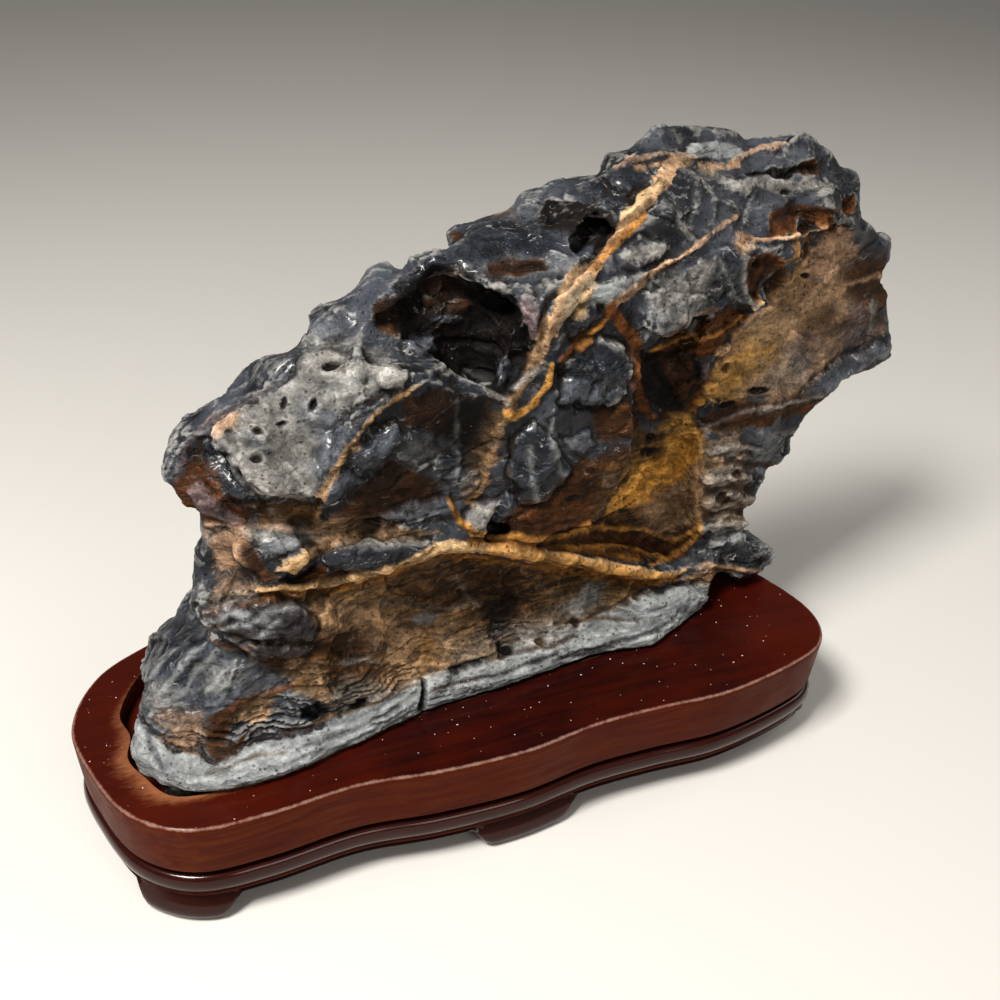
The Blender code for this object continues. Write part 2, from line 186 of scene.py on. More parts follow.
def put_corners(mesh: Mesh, points: Array) -> None:
    """Moves the mesh's corners to points in millimetres."""
    mesh.vertices.foreach_set("co", (points * MM).astype(np.float32).ravel())
    mesh.update()


def edge_array(mesh: Mesh) -> Array:
    """The two corners of each edge."""
    flat = np.empty(2 * len(mesh.edges), np.int32)
    mesh.edges.foreach_get("vertices", flat)
    return flat.reshape(-1, 2)


def neighbour_mean(values: Array, edges: Array, rounds: int = 1) -> Array:
    """Averages a value over each corner's neighbours, a number of times.

    Args:
        values: one number or one row for each corner.
        edges: the mesh's edges.
        rounds: how often it is averaged.

    Returns:
        The averaged values, in the same form.
    """
    rows = values.reshape(len(values), -1)
    degree = np.bincount(edges.ravel(), minlength=len(rows)).astype(float)[:, None] + 1.0
    for _ in range(rounds):
        total = rows.copy()
        for column in range(rows.shape[1]):
            total[:, column] += np.bincount(edges[:, 0], rows[edges[:, 1], column], len(rows))
            total[:, column] += np.bincount(edges[:, 1], rows[edges[:, 0], column], len(rows))
        rows = total / degree
    return rows.reshape(values.shape)


def triangle_count(mesh: Mesh) -> int:
    """How many triangles the mesh's faces make."""
    return sum(len(face.vertices) - 2 for face in mesh.polygons)


def new_object(name: str, mesh: Mesh) -> Object:
    """Links a mesh to the scene as an object at the origin."""
    obj = bpy.data.objects.new(name, mesh)
    bpy.context.scene.collection.objects.link(obj)
    return obj


def bake(obj: Object) -> None:
    """Replaces an object's mesh by what its modifiers make of it, and removes them."""
    graph = bpy.context.evaluated_depsgraph_get()
    made = bpy.data.meshes.new_from_object(obj.evaluated_get(graph), depsgraph=graph)
    obj.modifiers.clear()
    old = obj.data
    obj.data = made
    bpy.data.meshes.remove(old)


def put_number(mesh: Mesh, name: str, values: Array) -> None:
    """Stores one number for each corner under a name that a material can read."""
    layer = mesh.attributes.new(name, "FLOAT", "POINT")
    layer.data.foreach_set("value", values.astype(np.float32))


def put_colour(mesh: Mesh, name: str, values: Array) -> None:
    """Stores a colour for each corner under a name that a material can read."""
    rows = np.concatenate([values, np.ones((len(values), 1))], 1)
    layer = mesh.attributes.new(name, "FLOAT_COLOR", "POINT")
    layer.data.foreach_set("color", rows.astype(np.float32).ravel())


# ---- Viewpoint ----
def plan_origin() -> Array:
    """Where the middle of the stand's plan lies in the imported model, across and back, in millimetres."""
    low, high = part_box("stand")
    return np.array([(low[0] + high[0]) / 2 / MM, low[1] / MM + PLAN_HALF_DEPTH])


@dataclass(frozen=True)
class Viewpoint:
    """The camera: where it stands and how it looks at the stand's own frame."""

    frame_px: float = 1000.0
    focal_px: float = 1150.0
    sensor: float = 36.0
    azimuth: float = -24.1
    elevation: float = 34.0
    roll: float = 3.3
    stand_eye: Triple = (-88.6, -216.4, 239.1)
    nearest: float = 0.005

    def axes(self) -> Array:
        """Rows: right, up and back of the camera."""
        around, over, turn = (math.radians(a) for a in (self.azimuth, self.elevation, self.roll))
        right = np.array([math.cos(around), math.sin(around), 0.0])
        flat = math.cos(over)
        back = np.array([math.sin(around) * flat, -math.cos(around) * flat, math.sin(over)])
        rise = np.cross(back, right)
        return np.array([right * math.cos(turn) + rise * math.sin(turn),
                         rise * math.cos(turn) - right * math.sin(turn), back])

    def eye(self) -> Array:
        """The camera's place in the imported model's frame."""
        return np.array(self.stand_eye) + [*plan_origin(), 0.0]

    def pixels(self, points: Array) -> Array:
        """Where points in millimetres show in the frame."""
        seen = (points - self.eye()) @ self.axes().T
        half = self.frame_px / 2
        across = half + self.focal_px * seen[:, 0] / -seen[:, 2]
        down = half - self.focal_px * seen[:, 1] / -seen[:, 2]
        return np.stack([across, down], 1)

    def build(self) -> Object:
        """Makes the scene's camera."""
        lens = bpy.data.cameras.new("viewpoint")
        lens.sensor_width = self.sensor
        lens.lens = self.focal_px / self.frame_px * self.sensor
        lens.clip_start = self.nearest
        camera = bpy.data.objects.new("viewpoint", lens)
        bpy.context.scene.collection.objects.link(camera)
        turn = Matrix(self.axes().tolist()).transposed().to_4x4()
        camera.matrix_world = Matrix.Translation(Vector(self.eye() * MM)) @ turn
        bpy.context.scene.camera = camera
        return camera


# ---- What is marked on the stone ----
class StainAndShade(Enum):
    """Colours laid on the stone besides its own dark ground (linear red, green, blue); PITCH, the near black, is
    used mostly as painted shade in holes, crevices and under ledges.
    """

    SAND = (0.34, 0.220, 0.112)
    PALE_SAND = (0.43, 0.30, 0.165)
    GOLD = (0.24, 0.105, 0.022)
    OCHRE = (0.31, 0.155, 0.038)
    STRAW = (0.50, 0.28, 0.080)
    HONEY = (0.72, 0.36, 0.075)
    DUN = (0.36, 0.232, 0.135)
    CREAM = (0.37, 0.305, 0.220)
    RUST = (0.100, 0.035, 0.008)
    UMBER = (0.056, 0.023, 0.008)
    # Near black, used mostly as painted shade in holes, crevices, caverns and under ledges.
    PITCH = (0.008, 0.005, 0.004)
    BLUSH = (0.36, 0.230, 0.148)
    PINK = (0.24, 0.165, 0.120)
    ASH = (0.205, 0.197, 0.184)
    CHALK = (0.240, 0.249, 0.250)
    SLATE = (0.070, 0.077, 0.092)
    INK = (0.011, 0.0135, 0.020)
    MAUVE = (0.12, 0.092, 0.095)
    CLAY = (0.215, 0.132, 0.066)
    LOAM = (0.105, 0.056, 0.021)


(SAND, PALE_SAND, GOLD, OCHRE, STRAW, HONEY, DUN, CREAM, RUST, UMBER, PITCH, BLUSH, PINK, ASH, CHALK, SLATE,
 INK, MAUVE, CLAY, LOAM) = StainAndShade


class Layers:
    """What the marks lay on the skin's corners, one over the other."""

    shiny = (INK, SLATE)
    layered = (CHALK, LOAM, RUST, OCHRE, UMBER, CLAY)

    def __init__(self, count: int) -> None:
        """Starts with bare ground.

        Args:
            count: how many corners the skin has.
        """
        self.tint = np.tile(np.array(LOAM.value), (count, 1))
        self.cover = np.zeros(count)
        self.gloss = np.zeros(count)
        self.bedded = np.zeros(count)
        self.even = np.zeros(count)
        self.calm = np.zeros(count)
        self.rise = np.zeros(count)

    def lay(self, mask: Array, stain_and_shade: StainAndShade) -> None:
        """Puts a stain, or painted shade, over what is there, as thickly as the mask says."""
        total = mask + self.cover * (1.0 - mask)
        share = np.divide(mask, total, out=np.zeros_like(mask), where=total > 1e-4)
        self.tint += (np.array(stain_and_shade.value) - self.tint) * share[:, None]
        self.gloss += (float(stain_and_shade in self.shiny) - self.gloss) * share
        self.bedded += (float(stain_and_shade in self.layered) - self.bedded) * share
        self.even += (float(stain_and_shade is CHALK) - self.even) * share
        self.cover = total


@dataclass(frozen=True)
class Sight:
    """Each corner's pixel, how well the viewpoint sees it, and noise that roughens the marks' edges."""

    pixels: Array
    seen: Array
    wobble: Array
    drift: Array


def along_part(pixels: Array, start: Array, end: Array) -> tuple[Array, Array]:
    """Sets pixels against a straight part of a mark.

    Args:
        pixels: one row of two for each corner of the skin.
        start: the pixel at which the part starts.
        end: the pixel at which it ends.

    Returns:
        How far along the part each pixel lies, from 0 to 1, and how far away from it.
    """
    along = end - start
    share = np.clip(((pixels - start) @ along) / max(along @ along, 1e-9), 0.0, 1.0)
    return share, np.linalg.norm(pixels - start - share[:, None] * along, axis=1)


@dataclass(frozen=True)
class Streak:
    """A vein, ridge or crack.

    Its points are across, down and half width in the frame by turns; rise says how far it stands out.
    """

    stain_and_shade: StainAndShade
    points: tuple[float, ...]
    rise: float = 0.0
    strength: float = 1.0
    ragged: float = 1.5

    dusty: ClassVar[tuple[StainAndShade, ...]] = (ASH, CHALK, CLAY, MAUVE)
    bend: ClassVar[float] = 2.5
    roughen: ClassVar[float] = 0.9
    shoulder: ClassVar[float] = 1.5

    def _reach(self, pixels: Array) -> Array:
        """How far inside the streak each pixel lies: its half width minus the distance to its middle."""
        best = np.full(len(pixels), -1e9)
        line = np.array(self.points, float).reshape(-1, 3)
        for start, end in zip(line[:-1], line[1:]):
            share, away = along_part(pixels, start[:2], end[:2])
            best = np.maximum(best, start[2] + share * (end[2] - start[2]) - away)
        return best

    def lay(self, sight: Sight, layers: Layers) -> None:
        """Lays the streak where the viewpoint sees it.

        Args:
            sight: what the viewpoint makes of the skin's corners.
            layers: takes the stain and the rise.
        """
        reach = self._reach(sight.pixels + self.bend * sight.drift) + self.ragged * self.roughen * sight.wobble
        soft, calm = (3.2, 0.15) if self.stain_and_shade in self.dusty else (1.6, 0.6)
        mask = smooth_step(-soft, soft, reach) * sight.seen
        layers.lay(mask * self.strength, self.stain_and_shade)
        if self.rise:
            widest = max(self.points[2::3])
            round_top = np.sqrt(np.clip((reach + self.shoulder) / (widest + self.shoulder), 0.0, 1.0))
            layers.rise += self.rise * round_top * sight.seen
            layers.calm = np.maximum(layers.calm, calm * mask)


@dataclass(frozen=True)
class Patch:
    """An area with its own colour.

    Its outline is across and down in the frame by turns; soft and ragged are its edge, calm is its smoothness.
    """

    stain_and_shade: StainAndShade
    outline: tuple[float, ...]
    strength: float = 0.9
    soft: float = 4.0
    rise: float = 0.0
    ragged: float = 5.0
    calm: float = 0.0

    bend: ClassVar[float] = 4.0
    roughen: ClassVar[float] = 0.8
    swell: ClassVar[float] = 1.9
    slope: ClassVar[float] = 13.0
    moat_depth: ClassVar[float] = 0.45
    moat_half: ClassVar[float] = 3.0
    sink: ClassVar[float] = 2.6

    def _reach(self, pixels: Array) -> Array:
        """Distance from each pixel to the outline, positive inside it."""
        ring = np.array(self.outline, float).reshape(-1, 2)
        nearest = np.full(len(pixels), 1e9)
        inside = np.zeros(len(pixels), bool)
        for start, end in zip(ring, np.roll(ring, -1, 0)):
            nearest = np.minimum(nearest, along_part(pixels, start, end)[1])
            spans = (start[1] > pixels[:, 1]) != (end[1] > pixels[:, 1])
            drop = end[1] - start[1] if end[1] != start[1] else 1e-9
            crossing = start[0] + (pixels[:, 1] - start[1]) / drop * (end[0] - start[0])
            inside ^= spans & (pixels[:, 0] < crossing)
        return np.where(inside, nearest, -nearest)

    def lay(self, sight: Sight, layers: Layers) -> None:
        """Lays the patch where the viewpoint sees it: swollen to a lump, sunk to a dip, or level.

        Args:
            sight: what the viewpoint makes of the skin's corners.
            layers: takes the stain, the rise and the smoothness.
        """
        reach = self._reach(sight.pixels + self.bend * sight.drift) + self.ragged * self.roughen * sight.wobble
        mask = smooth_step(-1.5 * self.soft, 1.5 * self.soft, reach) * sight.seen
        layers.lay(mask * self.strength, self.stain_and_shade)
        layers.calm = np.maximum(layers.calm, mask * self.calm)
        if self.rise > 0.0:
            dome = np.clip((reach + 2.0) / self.slope, 0.0, 1.0)
            layers.rise += self.swell * self.rise * np.sqrt(dome * (2.0 - dome)) * sight.seen
            moat = np.exp(-((reach + self.moat_half) / self.moat_half) ** 2)
            layers.rise -= self.moat_depth * self.swell * self.rise * moat * sight.seen
        elif self.rise < 0.0:
            layers.rise += self.sink * self.rise * smooth_step(-1.0, 9.0, reach) * sight.seen


@dataclass(frozen=True)
class Pit:
    """A small hole or, with a negative depth, a boss: its middle, half sizes and turn are in the frame. A hole's
    near black is painted shade.
    """

    middle: tuple[float, float]
    half: tuple[float, float]
    depth: float
    turn: float = 0.0
    stain_and_shade: StainAndShade = PITCH
    strength: float = 0.9

    roughen: ClassVar[float] = 0.45

    def lay(self, sight: Sight, layers: Layers) -> None:
        """Sinks the pit, or raises the boss, where the viewpoint sees it.

        Args:
            sight: what the viewpoint makes of the skin's corners.
            layers: takes the stain and the rise.
        """
        turn = math.radians(self.turn)
        way = sight.pixels - self.middle
        along = (way[:, 0] * math.cos(turn) + way[:, 1] * math.sin(turn)) / self.half[0]
        down = (way[:, 1] * math.cos(turn) - way[:, 0] * math.sin(turn)) / self.half[1]
        near = np.hypot(along, down) + self.roughen * sight.wobble
        # A hole is painted with its colour, near black unless it names another, as the shade inside it; a boss
        # takes its own colour.
        layers.lay(smooth_step(1.15, 0.75, near) * sight.seen * self.strength, self.stain_and_shade)
        layers.rise -= self.depth * smooth_step(1.25, 0.45, near) * sight.seen


PATCHES = tuple(Patch(*row) for row in (
    # Waist, foot and the band under the main vein.
    (LOAM, (255, 590, 330, 592, 440, 560, 520, 565, 660, 585, 640, 600, 560, 625, 500, 650, 420, 680, 330,
      700, 300, 690, 290, 660, 240, 650, 205, 625, 210, 600), 0.8, 8),
    (CLAY, (300, 596, 440, 566, 640, 596, 560, 630, 500, 655, 420, 690, 330, 706, 300, 690, 320, 650, 318,
      615), 0.66, 8, 0, 10),
    (UMBER, (390, 590, 450, 566, 520, 570, 540, 600, 500, 640, 470, 620, 420, 600), 0.7, 8, 0, 8),
    (ASH, (440, 640, 500, 624, 560, 604, 600, 606, 560, 630, 500, 650, 450, 668), 0.42, 8, 0, 9),
    (DUN, (310, 598, 350, 600, 378, 612, 370, 634, 335, 634, 318, 622), 0.85, 7, 0, 8),
    (DUN, (386, 620, 440, 625, 470, 640, 440, 665, 400, 690, 368, 684, 380, 650), 0.8, 8, 0, 10),
    (OCHRE, (425, 632, 436, 640, 436, 660, 424, 668, 416, 650), 0.6, 6),
    (PITCH, (478, 598, 500, 590, 520, 600, 512, 622, 494, 640, 484, 622), 0.85, 6),
    (UMBER, (468, 568, 498, 572, 500, 592, 480, 590, 470, 580), 0.85, 5),
    (UMBER, (315, 640, 360, 632, 400, 640, 380, 662, 330, 670, 300, 660), 0.8, 6),
    (UMBER, (322, 665, 370, 660, 400, 668, 372, 690, 345, 700, 325, 690), 0.75, 6),
    (INK, (205, 610, 240, 600, 300, 605, 318, 622, 308, 636, 260, 642, 222, 632), 0.85, 4, 0.9),
    (INK, (248, 646, 275, 640, 315, 645, 300, 658, 262, 656), 0.85, 3, 0.8),
    (UMBER, (250, 655, 310, 652, 318, 662, 280, 672, 255, 664), 0.8, 3),
    (ASH, (215, 590, 255, 586, 262, 598, 232, 606, 214, 602), 0.65, 5),
    (BLUSH, (208, 570, 235, 575, 262, 588, 250, 596, 215, 592), 0.6, 6),
    # Foot at the left.
    (SLATE, (150, 652, 198, 626, 240, 640, 262, 662, 290, 690, 262, 704, 210, 722, 168, 716, 145, 700), 0.72,
      6),
    (INK, (160, 660, 186, 650, 200, 660, 184, 682, 160, 690), 0.7, 6),
    (ASH, (148, 684, 166, 680, 178, 692, 170, 704, 150, 702), 0.7, 5),
    (ASH, (206, 668, 236, 664, 244, 680, 222, 692, 204, 688), 0.5, 6),
    (INK, (150, 640, 195, 628, 206, 640, 176, 655, 150, 662), 0.8, 4),
    (INK, (165, 680, 190, 664, 206, 662, 190, 684, 172, 688), 0.85, 3),
    (BLUSH, (160, 706, 200, 716, 205, 742, 186, 752, 164, 742, 152, 722), 0.55, 7),
    (UMBER, (206, 742, 214, 716, 240, 700, 262, 690, 262, 704, 236, 718, 212, 758), 0.85, 4),
    (UMBER, (204, 740, 236, 742, 248, 730, 236, 752, 210, 760), 0.8, 4),
    (DUN, (296, 664, 316, 664, 330, 684, 322, 702, 300, 690, 288, 676), 0.8, 6, 0, 7),
    (DUN, (250, 700, 276, 690, 272, 716, 250, 724, 238, 716), 0.7, 5, 0, 7),
    (ASH, (330, 686, 372, 676, 392, 690, 360, 704, 330, 712), 0.55, 7, 0, 9),
    (INK, (300, 704, 318, 700, 336, 714, 322, 726, 302, 720), 0.9, 3, -0.8),
    # Pale crust along the bottom edge.
    (CHALK, (132, 712, 150, 735, 168, 748, 192, 752, 212, 762, 240, 752, 282, 738, 322, 730, 372, 702, 402,
      690, 426, 678, 452, 672, 500, 655, 548, 634, 590, 620, 640, 600, 700, 582, 718, 592, 712, 606, 660, 645,
      608, 662, 519, 684, 450, 708, 416, 720, 345, 752, 309, 768, 279, 776, 188, 800, 160, 790, 120, 768),
      0.95, 4, 0.5, 4, 0.5),
    (CHALK, (560, 606, 590, 584, 606, 578, 600, 600, 576, 616), 0.75, 5),
    (CHALK, (622, 606, 650, 592, 690, 586, 706, 596, 690, 606, 640, 622), 0.9, 4, 0.6),
    (ASH, (520, 632, 560, 620, 578, 630, 560, 644, 526, 648), 0.7, 4),
    # Dusty plate at the upper left.
    (ASH, (212, 428, 238, 408, 275, 396, 296, 372, 300, 350, 330, 352, 372, 366, 405, 372, 402, 386, 352, 402,
      332, 425, 322, 470, 312, 496, 262, 502, 242, 484, 226, 458, 214, 444), 0.8, 7, 0.4, 6, 0.65),
    (ASH, (300, 318, 330, 335, 366, 338, 400, 352, 405, 372, 360, 366, 320, 356, 296, 350), 0.5, 8),
    (CHALK, (322, 384, 350, 376, 378, 376, 372, 392, 340, 400, 322, 396), 0.4, 6),
    (SLATE, (296, 396, 318, 402, 326, 420, 316, 436, 300, 428, 290, 410), 0.5, 7, 0, 9),
    (SLATE, (316, 414, 334, 408, 346, 430, 338, 460, 320, 482, 312, 466, 319, 444), 0.85, 4),
    (SLATE, (300, 322, 330, 318, 352, 322, 346, 340, 318, 340), 0.7, 6),
    (INK, (280, 352, 300, 340, 316, 350, 296, 366, 278, 366), 0.6, 5),
    (BLUSH, (212, 428, 222, 416, 238, 414, 234, 428, 216, 436), 0.85, 4),
    (INK, (200, 446, 214, 448, 232, 466, 246, 488, 262, 502, 256, 512, 232, 494, 208, 470), 0.92, 3, 0.5),
    (SLATE, (232, 428, 252, 436, 270, 454, 262, 456, 240, 444), 0.7, 3),
    # Undercut below the nose.
    (RUST, (168, 492, 182, 470, 196, 456, 206, 472, 230, 494, 256, 512, 262, 522, 210, 524, 186, 512), 0.8,
      5),
    (LOAM, (250, 504, 300, 500, 318, 506, 318, 532, 262, 528), 0.85, 5),
    (MAUVE, (190, 492, 200, 484, 222, 504, 244, 520, 226, 524, 204, 514), 0.85, 3, 0.4),
    (BLUSH, (205, 528, 245, 530, 250, 552, 240, 576, 214, 568, 206, 545), 0.75, 7),
    (ASH, (245, 530, 300, 528, 322, 536, 308, 548, 262, 548), 0.85, 5),
    (UMBER, (244, 546, 258, 548, 270, 572, 286, 582, 262, 584, 244, 570), 0.88, 4),
    (DUN, (316, 518, 340, 518, 400, 526, 440, 530, 420, 540, 350, 545, 320, 554), 0.85, 7, 0, 8),
    (SAND, (276, 570, 294, 574, 308, 564, 316, 552, 306, 548, 286, 560), 0.8, 3, 0.5),
    (RUST, (296, 584, 310, 566, 322, 562, 330, 578, 350, 582, 330, 588), 0.85, 3),
    # Lens-shaped lumps above the main vein.
    (INK, (322, 562, 336, 547, 372, 541, 430, 540, 436, 545, 418, 552, 386, 568, 340, 570), 0.9, 3, 0.8),
    (UMBER, (326, 570, 372, 566, 398, 562, 386, 573, 350, 580, 330, 578), 0.95, 3),
    # Between the plate and the middle.
    (INK, (350, 470, 352, 448, 372, 430, 396, 422, 404, 436, 384, 460, 362, 476), 0.9, 3, 0.8),
    (SLATE, (354, 452, 376, 436, 396, 428, 392, 440, 370, 456, 358, 466), 0.6, 4),
    (INK, (322, 506, 332, 478, 352, 468, 366, 482, 356, 496, 334, 508), 0.85, 3, 0.6),
    (SLATE, (330, 488, 350, 474, 362, 484, 344, 496), 0.55, 4),
    (UMBER, (330, 516, 360, 494, 390, 462, 420, 470, 440, 490, 430, 502, 384, 520), 0.85, 6),
    # Painted shade: near black in the dark hollows between the plate and the middle.
    (PITCH, (366, 480, 392, 462, 412, 466, 404, 490, 380, 500), 0.6, 8),
    (PITCH, (398, 414, 430, 384, 480, 394, 498, 414, 488, 462, 470, 452, 452, 436, 420, 432), 0.86, 8),
    (UMBER, (410, 400, 440, 392, 452, 410, 430, 426, 408, 420), 0.6, 7),
    (INK, (406, 440, 440, 436, 470, 450, 480, 478, 464, 500, 448, 490, 432, 466, 410, 456), 0.7, 6),
    (SLATE, (448, 478, 462, 462, 476, 472, 478, 486, 456, 494), 0.7, 4, 0.4),
    (ASH, (404, 444, 424, 438, 440, 452, 436, 470, 416, 462), 0.22, 6, 0, 9),
    # Painted shade: near black in the hollow beside the great cavern.
    (PITCH, (438, 404, 470, 400, 492, 420, 490, 448, 472, 452, 450, 440), 0.55, 8, 0, 9),
    (SLATE, (384, 516, 412, 504, 452, 500, 456, 512, 420, 520, 390, 524), 0.7, 4, 0.5),
    (CLAY, (462, 480, 496, 400, 516, 392, 508, 430, 508, 470, 494, 500, 470, 502), 0.32, 6, 0, 10),
    (ASH, (468, 512, 478, 500, 500, 500, 494, 520, 484, 532, 470, 524), 0.8, 3, 0.6),
    # Great cavern.
    # Painted shade: the cavern's floor is sunk a little and painted near black as its shadow.
    (PITCH, (368, 302, 400, 284, 430, 266, 456, 262, 474, 272, 486, 288, 516, 300, 534, 318, 532, 350, 516,
      392, 500, 398, 474, 382, 444, 364, 414, 346, 390, 326, 372, 330), 0.95, 5, -0.7),
    (INK, (384, 292, 404, 276, 428, 256, 456, 250, 484, 262, 500, 280, 480, 276, 456, 262, 430, 268, 402,
      286), 0.85, 4),
    (UMBER, (366, 304, 384, 298, 398, 318, 396, 340, 380, 330, 370, 318), 0.6, 5, 0, 8),
    (UMBER, (440, 282, 458, 284, 470, 306, 468, 318, 446, 304, 432, 312, 428, 298), 0.6, 5),
    (SLATE, (406, 340, 420, 332, 436, 334, 440, 346, 424, 350, 410, 348), 0.85, 4, 0.6),
    (SLATE, (492, 362, 510, 358, 516, 372, 504, 380, 494, 374), 0.7, 4, 0.3),
    (MAUVE, (519, 296, 532, 292, 540, 316, 538, 340, 528, 346, 522, 320), 0.75, 4, 0.4),
    # Planes under the crest.
    (SLATE, (448, 252, 480, 226, 540, 232, 598, 230, 584, 262, 560, 276, 520, 278, 478, 268), 0.5, 6, 0, 5,
      0.7),
    (INK, (458, 244, 484, 234, 546, 232, 566, 246, 540, 258, 500, 258, 456, 260), 0.85, 6),
    (INK, (466, 218, 500, 210, 536, 210, 542, 224, 500, 234, 470, 234), 0.62, 7),
    # Painted shade: near black in the pit under the crest, the second patch also sunk.
    (PITCH, (540, 214, 547, 199, 566, 203, 592, 204, 611, 212, 618, 228, 606, 246, 584, 244, 566, 233, 544,
      231), 0.9, 2, 0, 2),
    (PITCH, (540, 214, 547, 199, 566, 202, 584, 204, 566, 212, 556, 230, 544, 231), 0.9, 2, -0.55, 2),
    (UMBER, (486, 262, 512, 258, 540, 260, 546, 270, 520, 276, 484, 272), 0.9, 3, -0.7),
    (ASH, (476, 274, 500, 284, 540, 284, 574, 278, 560, 290, 530, 292, 490, 287), 0.6, 5, 0.3, 8),
    (BLUSH, (476, 210, 508, 205, 512, 209, 484, 214), 0.7, 3),
    (UMBER, (446, 236, 452, 228, 460, 232, 456, 240), 0.9, 2),
    (INK, (604, 176, 616, 164, 646, 162, 652, 180, 628, 192, 606, 188), 0.7, 4, 0.6),
    (CHALK, (582, 298, 594, 283, 622, 277, 650, 272, 640, 288, 616, 298, 598, 309), 0.85, 4, 0.3),
    (ASH, (618, 256, 640, 236, 666, 244, 662, 256, 640, 268, 622, 268), 0.6, 5, 0.5),
    (INK, (650, 222, 676, 204, 690, 230, 672, 244, 654, 236), 0.6, 6),
    # Blue-black lumps in the middle.
    (INK, (566, 366, 584, 344, 602, 336, 620, 346, 630, 372, 626, 392, 608, 404, 566, 402), 0.9, 3, 1.1),
    (SLATE, (560, 380, 590, 386, 624, 380, 620, 396, 600, 404, 566, 396), 0.6, 5),
    (INK, (570, 326, 580, 310, 596, 302, 604, 314, 590, 328, 576, 336), 0.85, 3, 0.6),
    (INK, (562, 404, 600, 402, 596, 440, 560, 440, 548, 420), 0.85, 4),
    (UMBER, (594, 404, 626, 400, 640, 416, 636, 436, 612, 446, 596, 438), 0.95, 3),
    (INK, (516, 440, 536, 424, 552, 440, 572, 470, 560, 486, 548, 502, 524, 500, 514, 476), 0.92, 4, 0.9),
    (SLATE, (566, 440, 588, 430, 596, 444, 584, 454, 570, 452), 0.75, 4, 0.4),
    (INK, (600, 440, 632, 436, 628, 450, 604, 458), 0.8, 3),
    (INK, (494, 520, 500, 504, 516, 496, 520, 508, 506, 524, 496, 530), 0.9, 2, 0.5),
    (SLATE, (632, 300, 650, 286, 680, 280, 696, 300, 684, 330, 660, 336, 644, 320), 0.5, 6),
    (ASH, (644, 292, 670, 276, 700, 262, 714, 276, 704, 318, 688, 334, 664, 324, 650, 308), 0.62, 6, 0, 12),
    (INK, (706, 262, 736, 240, 746, 270, 752, 300, 735, 312, 700, 308, 712, 286), 0.65, 6),
    # Brown cavern with its orange lining.
    (RUST, (686, 322, 720, 312, 744, 308, 752, 320, 728, 346, 704, 358, 690, 352, 654, 356, 664, 344), 0.95,
      3),
    # Painted shade: near black deep in the brown cavern.
    (PITCH, (640, 350, 664, 352, 692, 350, 708, 366, 700, 398, 686, 420, 664, 416, 644, 396, 638, 372), 0.94,
      4),
    (UMBER, (664, 356, 690, 348, 696, 370, 688, 396, 676, 400, 668, 378), 0.85, 3, 0.4),
    (RUST, (690, 400, 706, 372, 726, 352, 736, 350, 718, 384, 702, 404, 688, 418), 0.8, 5),
    # Ochre recess and the brown underside of the middle.
    # The brown underside is partly the stone's colour and partly painted shade under the middle.
    (UMBER, (520, 506, 560, 486, 574, 460, 600, 456, 632, 446, 640, 460, 616, 500, 600, 524, 560, 540, 500,
      540, 496, 530), 0.88, 5),
    (RUST, (540, 500, 600, 470, 640, 446, 640, 480, 610, 512, 560, 530, 510, 534), 0.55, 9, 0, 9),
    (LOAM, (600, 470, 640, 446, 664, 420, 700, 412, 706, 450, 706, 520, 660, 540, 612, 540, 596, 520), 0.85,
      7),
    (STRAW, (612, 508, 632, 474, 658, 462, 660, 436, 672, 420, 696, 420, 700, 450, 684, 468, 654, 490, 640,
      506), 0.94, 5, 0, 8),
    (DUN, (636, 506, 656, 484, 690, 460, 704, 480, 700, 520, 676, 536, 646, 536), 0.8, 7, 0, 8),
    (LOAM, (664, 498, 690, 482, 702, 490, 694, 516, 672, 514), 0.55, 7, 0, 9),
    (HONEY, (614, 507, 634, 478, 656, 462, 672, 440, 690, 436, 694, 460, 676, 482, 650, 498, 634, 508), 0.85,
      4, 0, 7),
    (RUST, (520, 540, 600, 522, 660, 540, 700, 524, 690, 560, 640, 562, 560, 552), 0.75, 6),
    (LOAM, (634, 430, 664, 436, 664, 456, 640, 458), 0.8, 4),
    # Right: hollows under the crest, wing, spur and neck.
    (RUST, (768, 214, 790, 206, 836, 208, 834, 226, 800, 232, 768, 238), 0.92, 3, -0.5),
    # Painted shade: the near black patches here stand for the shade in the hollows and the slot under the crest.
    (PITCH, (772, 214, 784, 200, 794, 200, 798, 214, 784, 222), 0.8, 4),
    (RUST, (750, 262, 762, 252, 788, 256, 790, 280, 776, 296, 762, 306, 750, 294), 0.93, 3, -0.6),
    (PITCH, (754, 268, 768, 258, 782, 262, 786, 276, 770, 294, 758, 290), 0.62, 5, 0, 9),
    (OCHRE, (792, 240, 806, 234, 824, 236, 812, 250, 800, 272, 790, 268), 0.55, 5),
    (PITCH, (745, 174, 772, 168, 800, 162, 822, 164, 818, 174, 780, 178), 0.9, 2, -1),
    (RUST, (800, 164, 822, 162, 820, 172, 798, 176), 0.6, 3),
    (RUST, (842, 198, 852, 194, 858, 206, 852, 216, 842, 212), 0.95, 2, -0.6),
    (BLUSH, (736, 226, 752, 232, 760, 244, 750, 254, 740, 246), 0.88, 3),
    (DUN, (760, 312, 790, 290, 812, 270, 840, 262, 862, 296, 850, 330, 836, 362, 812, 378, 796, 394, 744, 400,
      708, 396, 726, 352), 0.9, 7, 0, 8, 0.6),
    (PALE_SAND, (762, 318, 788, 298, 812, 280, 832, 262, 838, 280, 806, 312, 776, 350, 750, 358, 744, 342),
      0.8, 8, 0, 14),
    (LOAM, (838, 256, 868, 250, 890, 290, 886, 336, 862, 352, 842, 340, 846, 300), 0.62, 9, 0, 12),
    (MAUVE, (806, 330, 834, 316, 842, 340, 820, 366, 792, 372, 786, 350), 0.62, 9, 0, 12),
